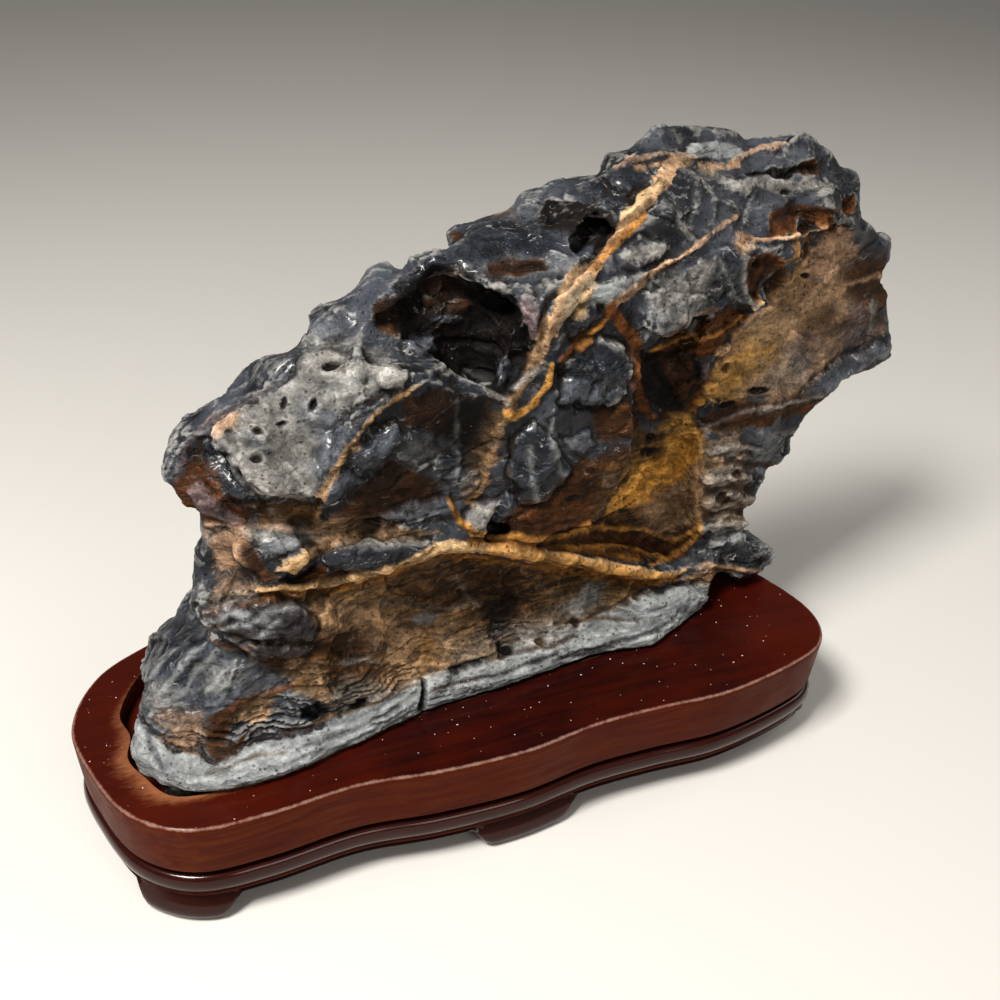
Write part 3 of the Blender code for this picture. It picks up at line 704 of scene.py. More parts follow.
    (MAUVE, (846, 300, 868, 304, 880, 330, 860, 360, 838, 362, 836, 330), 0.7, 8),
    (BLUSH, (806, 262, 820, 240, 846, 224, 858, 240, 854, 266, 830, 284, 808, 304, 800, 300), 0.92, 5, 0, 5,
      0.75),
    (CLAY, (788, 278, 808, 270, 812, 292, 792, 304, 780, 316, 768, 320), 0.75, 5),
    (BLUSH, (766, 318, 800, 300, 816, 300, 796, 326, 774, 350, 756, 350), 0.5, 8, 0, 12),
    (STRAW, (706, 398, 716, 374, 740, 348, 772, 340, 782, 360, 756, 376, 734, 398), 0.85, 7, 0, 9),
    (ASH, (756, 362, 790, 350, 812, 362, 800, 386, 770, 392), 0.5, 9, 0, 9),
    (LOAM, (806, 316, 836, 306, 848, 322, 836, 346, 812, 346), 0.6, 9, 0, 9),
    (UMBER, (850, 262, 884, 256, 892, 276, 892, 300, 860, 304, 846, 290), 0.72, 5),
    (INK, (864, 234, 880, 236, 892, 244, 884, 262, 862, 262), 0.6, 5),
    (SLATE, (896, 344, 884, 356, 850, 372, 840, 386, 822, 400, 806, 398, 816, 380, 850, 354, 880, 340), 0.85,
      4, 0.4),
    (UMBER, (702, 414, 730, 402, 780, 396, 826, 396, 826, 406, 792, 420, 740, 430, 706, 430), 0.9, 4),
    (CLAY, (702, 434, 746, 430, 752, 462, 750, 520, 716, 536, 702, 490), 0.5, 7, 0, 7),
    (ASH, (708, 444, 738, 440, 742, 462, 738, 516, 716, 526, 708, 490), 0.5, 7, 0, 9),
    (INK, (744, 444, 796, 436, 796, 462, 764, 480, 748, 470), 0.65, 6),
    (CHALK, (700, 556, 716, 530, 744, 524, 748, 540, 722, 548), 0.5, 5),
    (INK, (694, 556, 724, 550, 748, 540, 772, 556, 772, 574, 748, 590, 742, 576, 704, 568), 0.88, 3),
    (CLAY, (676, 580, 700, 564, 742, 570, 706, 584), 0.7, 4),
))

STREAKS = tuple(Streak(*row) for row in (
    # Main vein along the lower edge of the stone, and the thin ochre vein above it.
    (GOLD, (262, 597, 4, 330, 590, 4, 384, 578, 4, 439, 556, 4, 500, 560, 5, 578, 571, 5, 641, 581, 5, 672,
      580, 4), 0, 0.9),
    (SAND, (258, 591, 2, 290, 588, 3, 330, 583, 4, 381, 570, 4, 410, 559, 5, 439, 548, 6, 470, 546, 5, 500,
      550, 6, 527, 553, 6, 578, 561, 6, 610, 567, 6, 641, 573, 5, 667, 575, 3, 684, 570, 2), 1, 0.97, 1),
    (OCHRE, (486, 550, 3, 527, 555, 5, 578, 563, 5, 610, 569, 5, 641, 575, 4, 667, 576, 3), 0, 0.72, 3),
    (PALE_SAND, (436, 545, 4, 455, 542, 5, 470, 543, 3), 0, 0.7),
    (OCHRE, (450, 498, 2, 460, 518, 4, 474, 532, 4, 500, 537, 3, 535, 540, 3, 566, 535, 2, 590, 526, 2), 0.6,
      0.85),
    (GOLD, (470, 540, 3, 514, 546, 3, 560, 548, 3, 600, 552, 2, 640, 560, 2), -0.4, 0.8),
    (OCHRE, (560, 538, 2, 600, 528, 3, 640, 530, 2, 676, 540, 3, 700, 528, 3), 0.5, 0.7),
    (OCHRE, (650, 566, 2, 680, 552, 3, 700, 534, 3), 0.5, 0.8),
    (OCHRE, (570, 548, 2, 620, 546, 2, 660, 556, 2), 0.4, 0.6),
    # Great diagonal vein and the crevice beside it, a shallow groove painted near black as its shade.
    (PITCH, (652, 204, 3, 630, 216, 3, 604, 236, 4, 590, 258, 4, 572, 280, 4, 548, 298, 4, 542, 318, 4, 541,
      340, 3), -1.2, 0.9),
    (DUN, (672, 160, 6, 664, 176, 8, 656, 192, 8, 640, 206, 9, 626, 224, 8, 610, 244, 8, 598, 262, 9, 584,
      280, 14, 566, 302, 14, 553, 326, 10, 543, 346, 8, 533, 364, 5), 0.12, 0.92, 7),
    (GOLD, (644, 214, 5, 626, 232, 6, 610, 250, 6, 596, 268, 4), 0, 0.8, 5),
    (BLUSH, (672, 160, 5, 664, 172, 6), 0, 0.8, 4),
    (PALE_SAND, (656, 188, 6, 646, 197, 9, 636, 206, 5), 0.35, 0.9, 3),
    (CREAM, (594, 282, 7, 574, 304, 9, 560, 326, 6), 0, 0.8, 8),
    (OCHRE, (604, 270, 2, 588, 294, 2, 570, 320, 2), 0, 0.5, 5),
    (PITCH, (600, 252, 1, 592, 262, 1.5, 584, 272, 1), -0.3, 0.6),
    (CLAY, (533, 362, 5, 524, 384, 6, 512, 402, 5, 500, 424, 4, 494, 450, 4, 486, 480, 6, 472, 500, 6), 0.5,
      0.6, 6),
    (OCHRE, (552, 366, 3, 548, 384, 4, 536, 402, 4, 516, 416, 3, 506, 410, 3), 0.5, 0.85),
    (ASH, (516, 386, 3, 532, 376, 4, 544, 366, 3), 0.6, 0.8),
    # Second vein.
    (BLUSH, (738, 216, 2, 720, 226, 3, 702, 242, 3, 686, 254, 3, 664, 266, 3, 646, 280, 4, 630, 294, 4, 614,
      304, 5), 0.25, 0.85, 2.5),
    (RUST, (612, 304, 5, 606, 318, 4, 590, 336, 4, 574, 350, 4, 562, 364, 3), 0.6, 0.9),
    (OCHRE, (608, 316, 2, 592, 334, 3, 576, 348, 2), 0.2, 0.7),
    (PITCH, (686, 260, 2, 660, 272, 3, 640, 284, 3), -0.6, 0.6),
    # Orange lining of the brown cavern.
    (RUST, (610, 308, 6, 622, 324, 7, 634, 340, 7, 636, 360, 6, 634, 380, 5, 640, 400, 6, 652, 416, 5), 0.5,
      0.95, 3),
    (OCHRE, (652, 352, 2, 668, 344, 2, 690, 336, 2, 700, 340, 2, 726, 332, 2, 742, 318, 2), 0.5, 0.8),
    (BLUSH, (756, 312, 2, 742, 332, 3, 730, 346, 2), 0.4, 0.8),
    # Pale ridges and lines.
    (ASH, (600, 336, 2, 618, 344, 2, 630, 364, 2, 630, 386, 2, 618, 402, 2, 596, 404, 1), 0.3, 0.75),
    (ASH, (404, 376, 3, 440, 370, 4, 470, 378, 4, 494, 390, 3, 508, 402, 2), 0.7, 0.38, 5),
    (ASH, (328, 398, 3, 360, 388, 4, 400, 378, 3), 0.5, 0.8),
    (CLAY, (316, 526, 3, 319, 504, 4, 328, 480, 4, 344, 456, 4, 360, 434, 4, 376, 414, 3, 394, 400, 3, 424,
      382, 2), 0.6, 0.85),
    (ASH, (252, 424, 2, 262, 446, 2, 284, 464, 2, 306, 486, 2, 316, 502, 2), 0.3, 0.5),
    (ASH, (714, 256, 3, 708, 276, 4, 698, 300, 6, 688, 330, 4), 0.3, 0.75, 5),
    (ASH, (720, 262, 1, 732, 284, 1, 744, 306, 1), 0.2, 0.6),
    (ASH, (676, 200, 3, 684, 220, 4, 694, 240, 3), 0.1, 0.6, 6),
    (ASH, (700, 262, 4, 690, 286, 6, 676, 304, 5), 0.1, 0.7, 8),
    (ASH, (668, 246, 4, 640, 254, 5, 622, 264, 3), 0.1, 0.45, 8),
    (ASH, (740, 200, 3, 716, 200, 3, 714, 214, 2, 720, 226, 2), 0.2, 0.5),
    (ASH, (730, 184, 5, 770, 184, 8, 810, 186, 7, 834, 186, 4), 0.1, 0.75, 8),
    (ASH, (692, 172, 4, 724, 176, 6, 744, 190, 6), 0.1, 0.65, 8),
    (PINK, (207, 525, 2, 250, 527, 2, 290, 529, 3, 326, 534, 3), 0.4, 0.75),
    (MAUVE, (176, 478, 5, 186, 446, 5, 210, 418, 5, 245, 403, 4, 270, 386, 4), 0.3, 0.55, 3),
    (INK, (186, 512, 3, 174, 500, 3, 166, 486, 4), 0, 0.7),
    # Top vein with its white patch.
    (PINK, (616, 168, 2, 630, 158, 3, 661, 154, 3, 700, 155, 2), 0.25, 0.8, 3),
    (CHALK, (694, 149, 7, 716, 149, 9, 738, 151, 6), 0.5, 0.95),
    (PINK, (730, 164, 2, 744, 154, 3, 760, 146, 4, 786, 142, 2), 0.25, 0.8, 3),
    (DUN, (640, 166, 4, 672, 160, 5, 704, 164, 6, 734, 166, 5), 0, 0.55, 7),
    (ASH, (676, 128, 2, 682, 140, 3, 676, 152, 4), 0.1, 0.6, 5),
    # Edges of the hollows on the right.
    (BLUSH, (756, 240, 2, 786, 240, 2, 816, 230, 2, 840, 230, 2), 0.7, 0.85),
    (ASH, (748, 252, 2, 744, 276, 2, 752, 302, 2, 760, 312, 2), 0.4, 0.7),
    (ASH, (752, 246, 3, 770, 250, 3, 784, 246, 2), 0.3, 0.5),
    (BLUSH, (846, 284, 1, 872, 278, 1.5, 888, 276, 1), 0.2, 0.7),
    (BLUSH, (802, 302, 2, 824, 284, 2, 838, 270, 2), 0.4, 0.8),
    (ASH, (872, 302, 3, 874, 318, 3, 870, 338, 2), 0.2, 0.75, 4),
    # Spur and neck: ledges one above the other.
    (ASH, (760, 412, 1.5, 790, 404, 2, 822, 398, 1.5), 0.5, 0.7),
    (ASH, (706, 426, 2, 740, 412, 2, 770, 406, 1.5), 0.5, 0.5),
    (ASH, (712, 452, 3, 740, 446, 3, 764, 452, 2), 1.1, 0.38, 5),
    (ASH, (708, 480, 3, 736, 476, 3, 764, 482, 2), 1.1, 0.36, 5),
    (ASH, (706, 504, 3, 730, 496, 3, 756, 500, 2), 1.1, 0.34, 5),
    (ASH, (704, 530, 3, 728, 524, 3, 750, 524, 2), 1.1, 0.38, 5),
    (CHALK, (700, 550, 2, 724, 542, 3, 746, 534, 2), 0.9, 0.45, 5),
    (UMBER, (708, 466, 3, 738, 462, 3, 770, 468, 3), -0.8, 0.7, 3),
    (UMBER, (708, 492, 3, 732, 487, 3, 760, 490, 2), -0.8, 0.7, 3),
    (UMBER, (706, 517, 3, 730, 511, 3, 752, 512, 2), -0.8, 0.7, 3),
    (BLUSH, (680, 568, 2, 706, 564, 2, 744, 570, 2, 764, 572, 1.5), 0.5, 0.75),
    (ASH, (752, 558, 1.5, 764, 552, 1.5), 0.2, 0.5),
    (ASH, (727, 552, 1, 728, 566, 1), 0, 0.7),
    # White veinlets on the blue-black lumps.
    (CHALK, (528, 446, 2, 531, 470, 1.6, 534, 500, 2), 0.1, 0.75),
    (CHALK, (556, 420, 2, 550, 444, 1.8, 556, 466, 2, 566, 476, 1.5), 0.2, 0.7),
    (ASH, (456, 400, 1, 458, 430, 1.5, 458, 460, 1, 452, 492, 1), 0.1, 0.5),
    (CHALK, (158, 694, 1.5, 172, 678, 2, 190, 654, 2, 206, 640, 1), 0.2, 0.85, 2.5),
    (CHALK, (150, 676, 1.5, 164, 656, 2, 186, 642, 1), 0.2, 0.7, 2.5),
    (CHALK, (184, 692, 2, 194, 674, 2.5, 214, 652, 1.5), 0.2, 0.8, 2.5),
    (CHALK, (206, 694, 1.5, 220, 676, 2, 238, 660, 1), 0.2, 0.65, 2.5),
    (CHALK, (150, 716, 2, 160, 704, 3, 186, 704, 2), 0.2, 0.7, 3),
    (CHALK, (160, 706, 2, 176, 696, 3, 194, 690, 2, 240, 684, 1, 262, 676, 1), 0.2, 0.7, 3),
    (CHALK, (246, 642, 1.6, 262, 630, 2, 280, 618, 1.6), 0.1, 0.8, 2.5),
    (CHALK, (208, 622, 4, 224, 614, 4, 246, 614, 3), 0.2, 0.85, 4),
    (CHALK, (216, 630, 2, 240, 622, 2.4, 268, 618, 1.8), 0.1, 0.8, 2.5),
    (CHALK, (262, 612, 1.8, 290, 606, 2.2, 312, 608, 1.6), 0.1, 0.7, 2.5),
    (CHALK, (286, 646, 1.5, 300, 640, 1, 322, 632, 1), 0.1, 0.5),
    (ASH, (340, 544, 2, 380, 544, 2, 430, 541, 1.5), 0, 0.7),
    (CHALK, (342, 664, 1.5, 364, 660, 2, 380, 662, 1), 0.2, 0.65),
    (ASH, (380, 604, 1, 420, 606, 1, 450, 610, 1.5, 470, 606, 1), 0.1, 0.5),
    (ASH, (458, 576, 1, 464, 592, 1, 480, 606, 1), 0.1, 0.45),
    # Brown seams.
    (RUST, (208, 636, 2, 222, 648, 3, 246, 654, 3, 252, 664, 2), -0.3, 0.7),
    (RUST, (212, 720, 2, 240, 704, 2, 276, 692, 2, 310, 682, 2), -0.2, 0.8),
    (RUST, (168, 740, 1.5, 186, 750, 2, 198, 754, 1), -0.3, 0.7),
    (RUST, (236, 608, 1.5, 262, 600, 1.5, 290, 602, 1), 0, 0.6),
    (PITCH, (258, 600, 1, 280, 602, 1.5, 310, 606, 1), -0.4, 0.7),
    (PITCH, (380, 606, 1, 400, 604, 1, 430, 606, 1), -0.3, 0.6),
    (PITCH, (286, 582, 2, 300, 576, 2.5, 310, 566, 2), -0.6, 0.9),
    # Notch and cracks in the pale crust: shallow grooves painted dark as the shade under the crust's ledges, and
    # the notch painted near black as its shade.
    (PITCH, (423, 680, 0.8, 423, 694, 2.2, 421, 708, 4), -2.6, 0.97, 1),
    (PITCH, (462, 682, 1.5, 492, 675, 2.2, 520, 666, 2.4, 556, 652, 1.6), -0.6, 0.85, 1.5),
    (PITCH, (552, 660, 1.6, 600, 648, 2.2, 640, 637, 2, 672, 620, 1.5), -0.6, 0.8, 1.5),
    (LOAM, (556, 622, 1.5, 600, 619, 2.2, 640, 619, 1.5), -0.5, 0.7, 1.5),
    (UMBER, (500, 657, 1.5, 540, 647, 2.2, 576, 636, 1.5), -0.5, 0.75, 1.5),
    (UMBER, (430, 691, 1.5, 452, 685, 2.2, 476, 680, 1.5), -0.4, 0.7, 1.5),
    (LOAM, (346, 714, 1.5, 380, 701, 2.2, 410, 687, 1.5), -0.4, 0.7, 1.5),
    (LOAM, (280, 732, 1.5, 310, 727, 2.4, 338, 714, 1.5), -0.4, 0.7, 1.5),
    (LOAM, (204, 773, 1.5, 240, 761, 2, 284, 752, 1.5), -0.4, 0.55, 1.5),
    (SLATE, (296, 750, 1.5, 340, 735, 2.2, 400, 706, 1.5), -0.5, 0.7, 1.5),
    (SLATE, (226, 782, 1.5, 280, 765, 2.2, 324, 748, 1.5), -0.4, 0.65, 1.5),
    (SLATE, (145, 726, 1.5, 152, 748, 2.2, 164, 770, 1.5), -0.5, 0.65, 1.5),
    (SLATE, (330, 726, 1.5, 372, 710, 2, 404, 694, 1.5), -0.4, 0.55, 1.5),
    (SLATE, (436, 706, 1.5, 470, 695, 2, 510, 680, 1.5), -0.4, 0.6, 1.5),
))

PITS = tuple(Pit(*row) for row in (
    ((258, 432), (6, 4), 1.2, 20), ((257, 460), (6, 4.5), 1.2), ((281, 424), (7, 3), 0.9, -15),
    ((313, 404), (4.5, 7), 1.4, 15), ((331, 367), (9, 3.5), 1.1, -12), ((228, 431), (4, 2), 0.5),
    ((284, 402), (3, 7), 0.9, 15), ((240, 442), (8, 7), -0.5, 0, ASH, 0.8),
    ((306, 452), (9, 12), -0.6, -20, ASH, 0.8),
    ((468, 664), (19, 5), 1.6, -14), ((454, 670), (6, 5), 0.8), ((360, 705), (9, 4), 1, -18),
    ((505, 648), (9, 5), 1.2, 10), ((540, 642), (7, 4), 0.9, 0, UMBER),
    ((575, 622), (5, 8), 1.2, 0, UMBER), ((426, 618), (16, 7), -0.9, 0, SLATE, 0.8),
    ((282, 545), (20, 9), -0.7, -8, SLATE, 0.55), ((196, 604), (5, 4), 0.8),
    ((420, 306), (7, 12), 0.8, 20), ((452, 322), (14, 5), -0.4, 0, SLATE, 0.6),
    ((786, 192), (7, 3.5), 0.9), ((805, 252), (4, 9), 0.9, 10, UMBER), ((762, 266), (6, 5), 0.9),
    ((806, 276), (5, 3), 0.7), ((832, 226), (4, 7), 0.9, 0, RUST), ((648, 452), (10, 5), 1, -10),
    ((762, 470), (5, 4), -0.8, 0, SLATE, 0.6), ((716, 462), (9, 6), -0.8, 0, CLAY, 0.6),
    ((722, 500), (8, 6), 0.9, 0, UMBER), ((736, 474), (6, 4), 0.8, 0, UMBER),
    ((722, 351), (8, 5), -1, -40, DUN, 0.8), ((736, 334), (7, 4), -0.9, -50, CLAY, 0.8),
    ((711, 388), (8, 6), -1.1, -40, STRAW, 0.8), ((700, 402), (6, 4), -0.8, -30, OCHRE, 0.8),
    ((728, 368), (6, 4), 0.8, -50, UMBER, 0.7),
    ((705, 372), (5, 9), -0.6, 0, MAUVE, 0.7), ((652, 438), (6, 4), 0.8),
    ((760, 390), (10, 3), 0.7, -10), ((728, 404), (8, 3), 0.7, -14),
    ((592, 472), (8, 4), 0.8, 0, RUST), ((572, 500), (12, 3), 0.7, -12, UMBER),
))


# ---- Shader building ----
class NodeBench:
    """Adds nodes to one node tree and wires them."""

    def __init__(self, tree: Tree) -> None:
        """Starts on an empty tree."""
        self.tree = tree
        tree.nodes.clear()

    def add(self, kind: str, inputs: dict | None = None, **settings: object) -> bpy.types.Node:
        """Adds a node.

        Args:
            kind: the node's type name, without the ShaderNode in front.
            inputs: what each input gets: a socket to wire to it, or its own value.
            settings: the node's other settings.

        Returns:
            The new node.
        """
        prefix = "" if kind.startswith(("Node", "Geometry", "Function")) else "ShaderNode"
        node = self.tree.nodes.new(prefix + kind)
        for key, value in settings.items():
            setattr(node, key, value)
        for key, value in (inputs or {}).items():
            if isinstance(value, Socket):
                self.tree.links.new(value, node.inputs[key])
            else:
                node.inputs[key].default_value = value
        return node

    def math(self, operation: str, first: object, second: object = 0.0, clamp: bool = False) -> Socket:
        """Wires a Math node and gives its result."""
        return self.add("Math", {0: first, 1: second}, operation=operation, use_clamp=clamp).outputs[0]

    def times(self, first: object, second: object) -> Socket:
        """The product of two values."""
        return self.math("MULTIPLY", first, second)

    def plus(self, first: object, second: object, clamp: bool = False) -> Socket:
        """The sum of two values, kept from 0 to 1 if clamp says so."""
        return self.math("ADD", first, second, clamp)

    def minus(self, first: object, second: object) -> Socket:
        """The difference of two values."""
        return self.math("SUBTRACT", first, second)

    def reading(self, name: str, output: str = "Fac") -> Socket:
        """What the mesh stores under a name."""
        return self.add("Attribute", attribute_name=name).outputs[output]

    def group(self, tree: Tree, **inputs: object) -> Socket:
        """Places a shared effect and gives its result."""
        return self.add("Group", inputs, node_tree=tree).outputs[0]

    def lay(self, under: object, over: object, share: object, strength: float) -> Socket:
        """Lays one colour over another, as far as a mask and a strength say."""
        return self.mix(self.times(share, strength), under, over)

    def mix(self, share: object, first: object, second: object, blend: str = "MIX") -> Socket:
        """Wires a colour Mix node and gives its result."""
        node = self.add("Mix", data_type="RGBA", blend_type=blend)
        for socket, value in ((node.inputs[0], share), (node.inputs[6], first), (node.inputs[7], second)):
            if isinstance(value, Socket):
                self.tree.links.new(value, socket)
            else:
                socket.default_value = (*value, 1.0) if isinstance(value, tuple) and len(value) == 3 else value
        return node.outputs[2]

    def step(self, value: object, low: object, high: object) -> Socket:
        """A soft step from 0 at low to 1 at high."""
        limits = {"Value": value, "From Min": low, "From Max": high}
        return self.add("MapRange", limits, interpolation_type="SMOOTHSTEP").outputs[0]

    def spread(self, value: object, low: float, high: float) -> Socket:
        """Turns 0 to 1 into low to high."""
        return self.add("MapRange", {"Value": value, "To Min": low, "To Max": high}).outputs[0]

    def stretch(self, coordinates: object, scale: Triple,
                turn: Triple = (0.0, 0.0, 0.0)) -> Socket:
        """Scales and turns coordinates before a pattern reads them."""
        return self.add("Mapping", {"Vector": coordinates, "Scale": scale, "Rotation": turn}).outputs[0]

    def noise(self, coordinates: object, scale: float, detail: float = 4.0, rough: float = 0.55,
              bend: float = 0.0) -> Socket:
        """Fractal noise from 0 to 1."""
        inputs = {"Vector": coordinates, "Scale": scale, "Detail": detail, "Roughness": rough, "Distortion": bend}
        return self.add("TexNoise", inputs).outputs[0]


def new_finish(name: str) -> tuple[Material, NodeBench, Socket]:
    """Starts a material.

    Args:
        name: the material's name.

    Returns:
        The material, its bench and the place on the object.
    """
    mat = bpy.data.materials.new(name)
    mat.use_nodes = True
    bench = NodeBench(mat.node_tree)
    return mat, bench, bench.add("TexCoord").outputs["Object"]


def group_sockets(tree: Tree, takes: dict[str, tuple[str, object]],
                  gives: dict[str, str]) -> None:
    """Declares a group's inputs and outputs.

    Args:
        tree: the group.
        takes: each input's kind and value, by name.
        gives: each output's kind, by name.
    """
    for name, (kind, value) in takes.items():
        socket = tree.interface.new_socket(name=name, in_out="INPUT", socket_type=kind)
        if value is not None:
            socket.default_value = value
    for name, kind in gives.items():
        tree.interface.new_socket(name=name, in_out="OUTPUT", socket_type=kind)


class SharedEffects:
    """Shader groups that both finishes use, each built once."""

    def __init__(self) -> None:
        """Builds the groups."""
        self.ragged = self._build_ragged()
        self.specks = self._build_specks()

    def _build_ragged(self) -> Tree:
        """A soft field broken up along its edge: takes a field and gives a mask."""
        tree = bpy.data.node_groups.new("ragged_edge", "ShaderNodeTree")
        bench = NodeBench(tree)
        group_sockets(tree, {"Field": ("NodeSocketFloat", 0.5), "Vector": ("NodeSocketVector", None),
                             "Scale": ("NodeSocketFloat", 400.0), "Amount": ("NodeSocketFloat", 0.5),
                             "Softness": ("NodeSocketFloat", 0.15)}, {"Mask": "NodeSocketFloat"})
        entry, leave = bench.add("NodeGroupInput"), bench.add("NodeGroupOutput")
        pattern = bench.add("TexNoise", {"Vector": entry.outputs["Vector"], "Scale": entry.outputs["Scale"],
                                         "Detail": 5.0, "Roughness": 0.65}).outputs[0]
        small = bench.times(entry.outputs["Scale"], 3.7)
        crumbs = bench.add("TexNoise", {"Vector": entry.outputs["Vector"], "Scale": small, "Detail": 2.0})
        both = bench.plus(bench.times(pattern, 0.62), bench.times(crumbs.outputs[0], 0.38))
        shaken = bench.times(bench.minus(both, 0.5), entry.outputs["Amount"])
        low = bench.minus(0.5, entry.outputs["Softness"])
        high = bench.plus(0.5, entry.outputs["Softness"])
        mask = bench.step(bench.plus(entry.outputs["Field"], shaken), low, high)
        tree.links.new(mask, leave.inputs["Mask"])
        return tree

    def _build_specks(self) -> Tree:
        """Small scattered specks: takes a size and how many, and gives a mask."""
        tree = bpy.data.node_groups.new("specks", "ShaderNodeTree")
        bench = NodeBench(tree)
        group_sockets(tree, {"Vector": ("NodeSocketVector", None), "Scale": ("NodeSocketFloat", 500.0),
                             "Size": ("NodeSocketFloat", 0.2), "Share": ("NodeSocketFloat", 0.2)},
                      {"Mask": "NodeSocketFloat"})
        entry, leave = bench.add("NodeGroupInput"), bench.add("NodeGroupOutput")
        cells = bench.add("TexVoronoi", {"Vector": entry.outputs["Vector"], "Scale": entry.outputs["Scale"]})
        half = bench.times(entry.outputs["Size"], 0.5)
        near = bench.step(cells.outputs["Distance"], entry.outputs["Size"], half)
        pick = bench.add("SeparateColor", {0: cells.outputs["Color"]}).outputs[0]
        chosen = bench.math("LESS_THAN", pick, entry.outputs["Share"])
        tree.links.new(bench.times(near, chosen), leave.inputs["Mask"])
        return tree


@dataclass(frozen=True)
class Limestone:
    """Dark blue-grey limestone under dust, veins and stains."""

    slot: str = "limestone"
    dark: Triple = (0.010, 0.011, 0.014)
    brown: Triple = (0.020, 0.012, 0.008)
    blue: Triple = (0.056, 0.062, 0.076)
    dust: Triple = (0.265, 0.258, 0.246)
    veinlet: Triple = (0.40, 0.40, 0.40)
    bump_depth: float = 0.0008
    specular: float = 0.20
    coat_rough: float = 0.20

    def build(self, effects: SharedEffects) -> Material:
        """Makes the material.

        Args:
            effects: the shared shader groups.

        Returns:
            The stone's material, which reads stain_and_shade, cover, gloss, bedded, even, ridge and hollow.
        """
        mat, bench, place = new_finish("limestone")
        read = {name: bench.reading(name) for name in ("cover", "gloss", "ridge", "hollow", "bedded", "even")}
        weave = self._weave(bench, place)
        ground, dusty = self._ground(bench, read, weave)
        mask = bench.group(effects.ragged, Field=read["cover"], Vector=weave["laid"], Scale=300.0, Amount=1.7,
                           Softness=0.24)
        beds = bench.times(bench.step(weave["bed"], 0.47, 0.36), read["bedded"])
        colour = bench.mix(mask, ground, bench.lay(self._stains_with_painted_light(bench, read, weave), self.brown, beds, 0.72))
        colour = bench.mix(self._hair(bench, read, weave), colour, self.veinlet)
        threads = self._threads(bench, read, weave)
        colour = bench.mix(threads, colour, self.dust)
        pepper = bench.group(effects.specks, Vector=place, Scale=800.0, Size=0.36, Share=0.20)
        colour = bench.lay(colour, self.brown, pepper, 0.55)
        sparkle = bench.group(effects.specks, Vector=place, Scale=430.0, Size=0.09, Share=0.04)
        colour = bench.lay(colour, self.veinlet, sparkle, 0.8)

        dull = bench.times(mask, bench.spread(read["gloss"], 0.36, 0.0))
        dull = bench.plus(dull, bench.times(dusty, 0.22))
        rough = bench.plus(bench.spread(weave["fine"], 0.22, 0.46), dull, True)
        height = bench.plus(bench.times(weave["fine"], 0.30), weave["swirl"])
        height = bench.plus(height, bench.times(weave["fibre"], 0.35))
        height = bench.plus(height, bench.times(threads, 0.40))
        height = bench.minus(height, bench.times(beds, 0.45))
        height = bench.minus(height, bench.times(pepper, 0.35))
        bump = bench.add("Bump", {"Strength": 0.75, "Distance": self.bump_depth, "Height": height}).outputs[0]
        polish = bench.times(bench.times(read["gloss"], 0.42), bench.spread(read["hollow"], 1.0, 0.10))
        shader = bench.add("BsdfPrincipled", {"Base Color": colour, "Roughness": rough, "Normal": bump,
                                              "Coat Weight": polish})
        shader.inputs["Metallic"].default_value = 0.0
        shader.inputs["Specular IOR Level"].default_value = self.specular
        shader.inputs["Coat Roughness"].default_value = self.coat_rough
        bench.add("OutputMaterial", {"Surface": shader.outputs[0]})
        return mat

    def _weave(self, bench: NodeBench, place: Socket) -> Sockets:
        """Makes the patterns that colour, gloss and bump share.

        Args:
            bench: adds the nodes.
            place: the place on the object.

        Returns:
            The patterns and the places that they read, by name.
        """
        shake = bench.add("TexNoise", {"Vector": place, "Scale": 75.0, "Detail": 4.0, "Roughness": 0.6})
        bend = {0: shake.outputs["Color"], 1: (0.016, 0.016, 0.016)}
        drift = bench.add("VectorMath", bend, operation="MULTIPLY").outputs[0]
        moved = bench.add("VectorMath", {0: place, 1: drift}, operation="ADD").outputs[0]
        laid = bench.stretch(moved, (0.42, 1.0, 1.15), (0.0, 0.55, 0.0))
        combed = bench.stretch(moved, (0.16, 1.0, 0.9), (0.0, 0.95, 0.3))
        level = bench.stretch(place, (0.09, 0.12, 1.0), (0.0, 0.10, 0.0))
        return {"place": place, "laid": laid, "broad": bench.noise(place, 62.0, 5.0, 0.62),
                "swirl": bench.noise(laid, 150.0, 7.0, 0.68), "fine": bench.noise(place, 760.0, 3.0, 0.7),
                "fibre": bench.noise(combed, 620.0, 5.0, 0.7), "bed": bench.noise(level, 640.0, 4.0, 0.65)}

    def _ground(self, bench: NodeBench, read: Sockets, weave: Sockets) -> tuple[Socket, Socket]:
        """The bare stone under its dust.

        Args:
            bench: adds the nodes.
            read: the attributes, by name.
            weave: the shared patterns, by name.

        Returns:
            The colour, near black with bluish clouds and brown where it lies back, and the mask of the dust,
            which lies in wisps on slopes that face up and on worn ridges.
        """
        ground = bench.mix(bench.step(weave["broad"], 0.40, 0.66), self.dark, self.blue)
        ground = bench.lay(ground, self.blue, bench.step(weave["swirl"], 0.48, 0.72), 0.45)
        ground = bench.lay(ground, self.brown, bench.step(read["hollow"], 0.15, 0.8), 0.8)
        upward = bench.add("SeparateXYZ", {0: bench.add("NewGeometry").outputs["Normal"]}).outputs["Z"]
        held = bench.plus(bench.times(read["ridge"], 0.24), bench.times(upward, 0.10))
        held = bench.minus(held, bench.times(read["hollow"], 0.30))
        wisps = bench.plus(weave["swirl"], bench.times(weave["fibre"], 0.50))
        dusty = bench.step(bench.plus(held, wisps), 0.86, 1.24)
        return bench.lay(ground, self.dust, dusty, 0.78), dusty

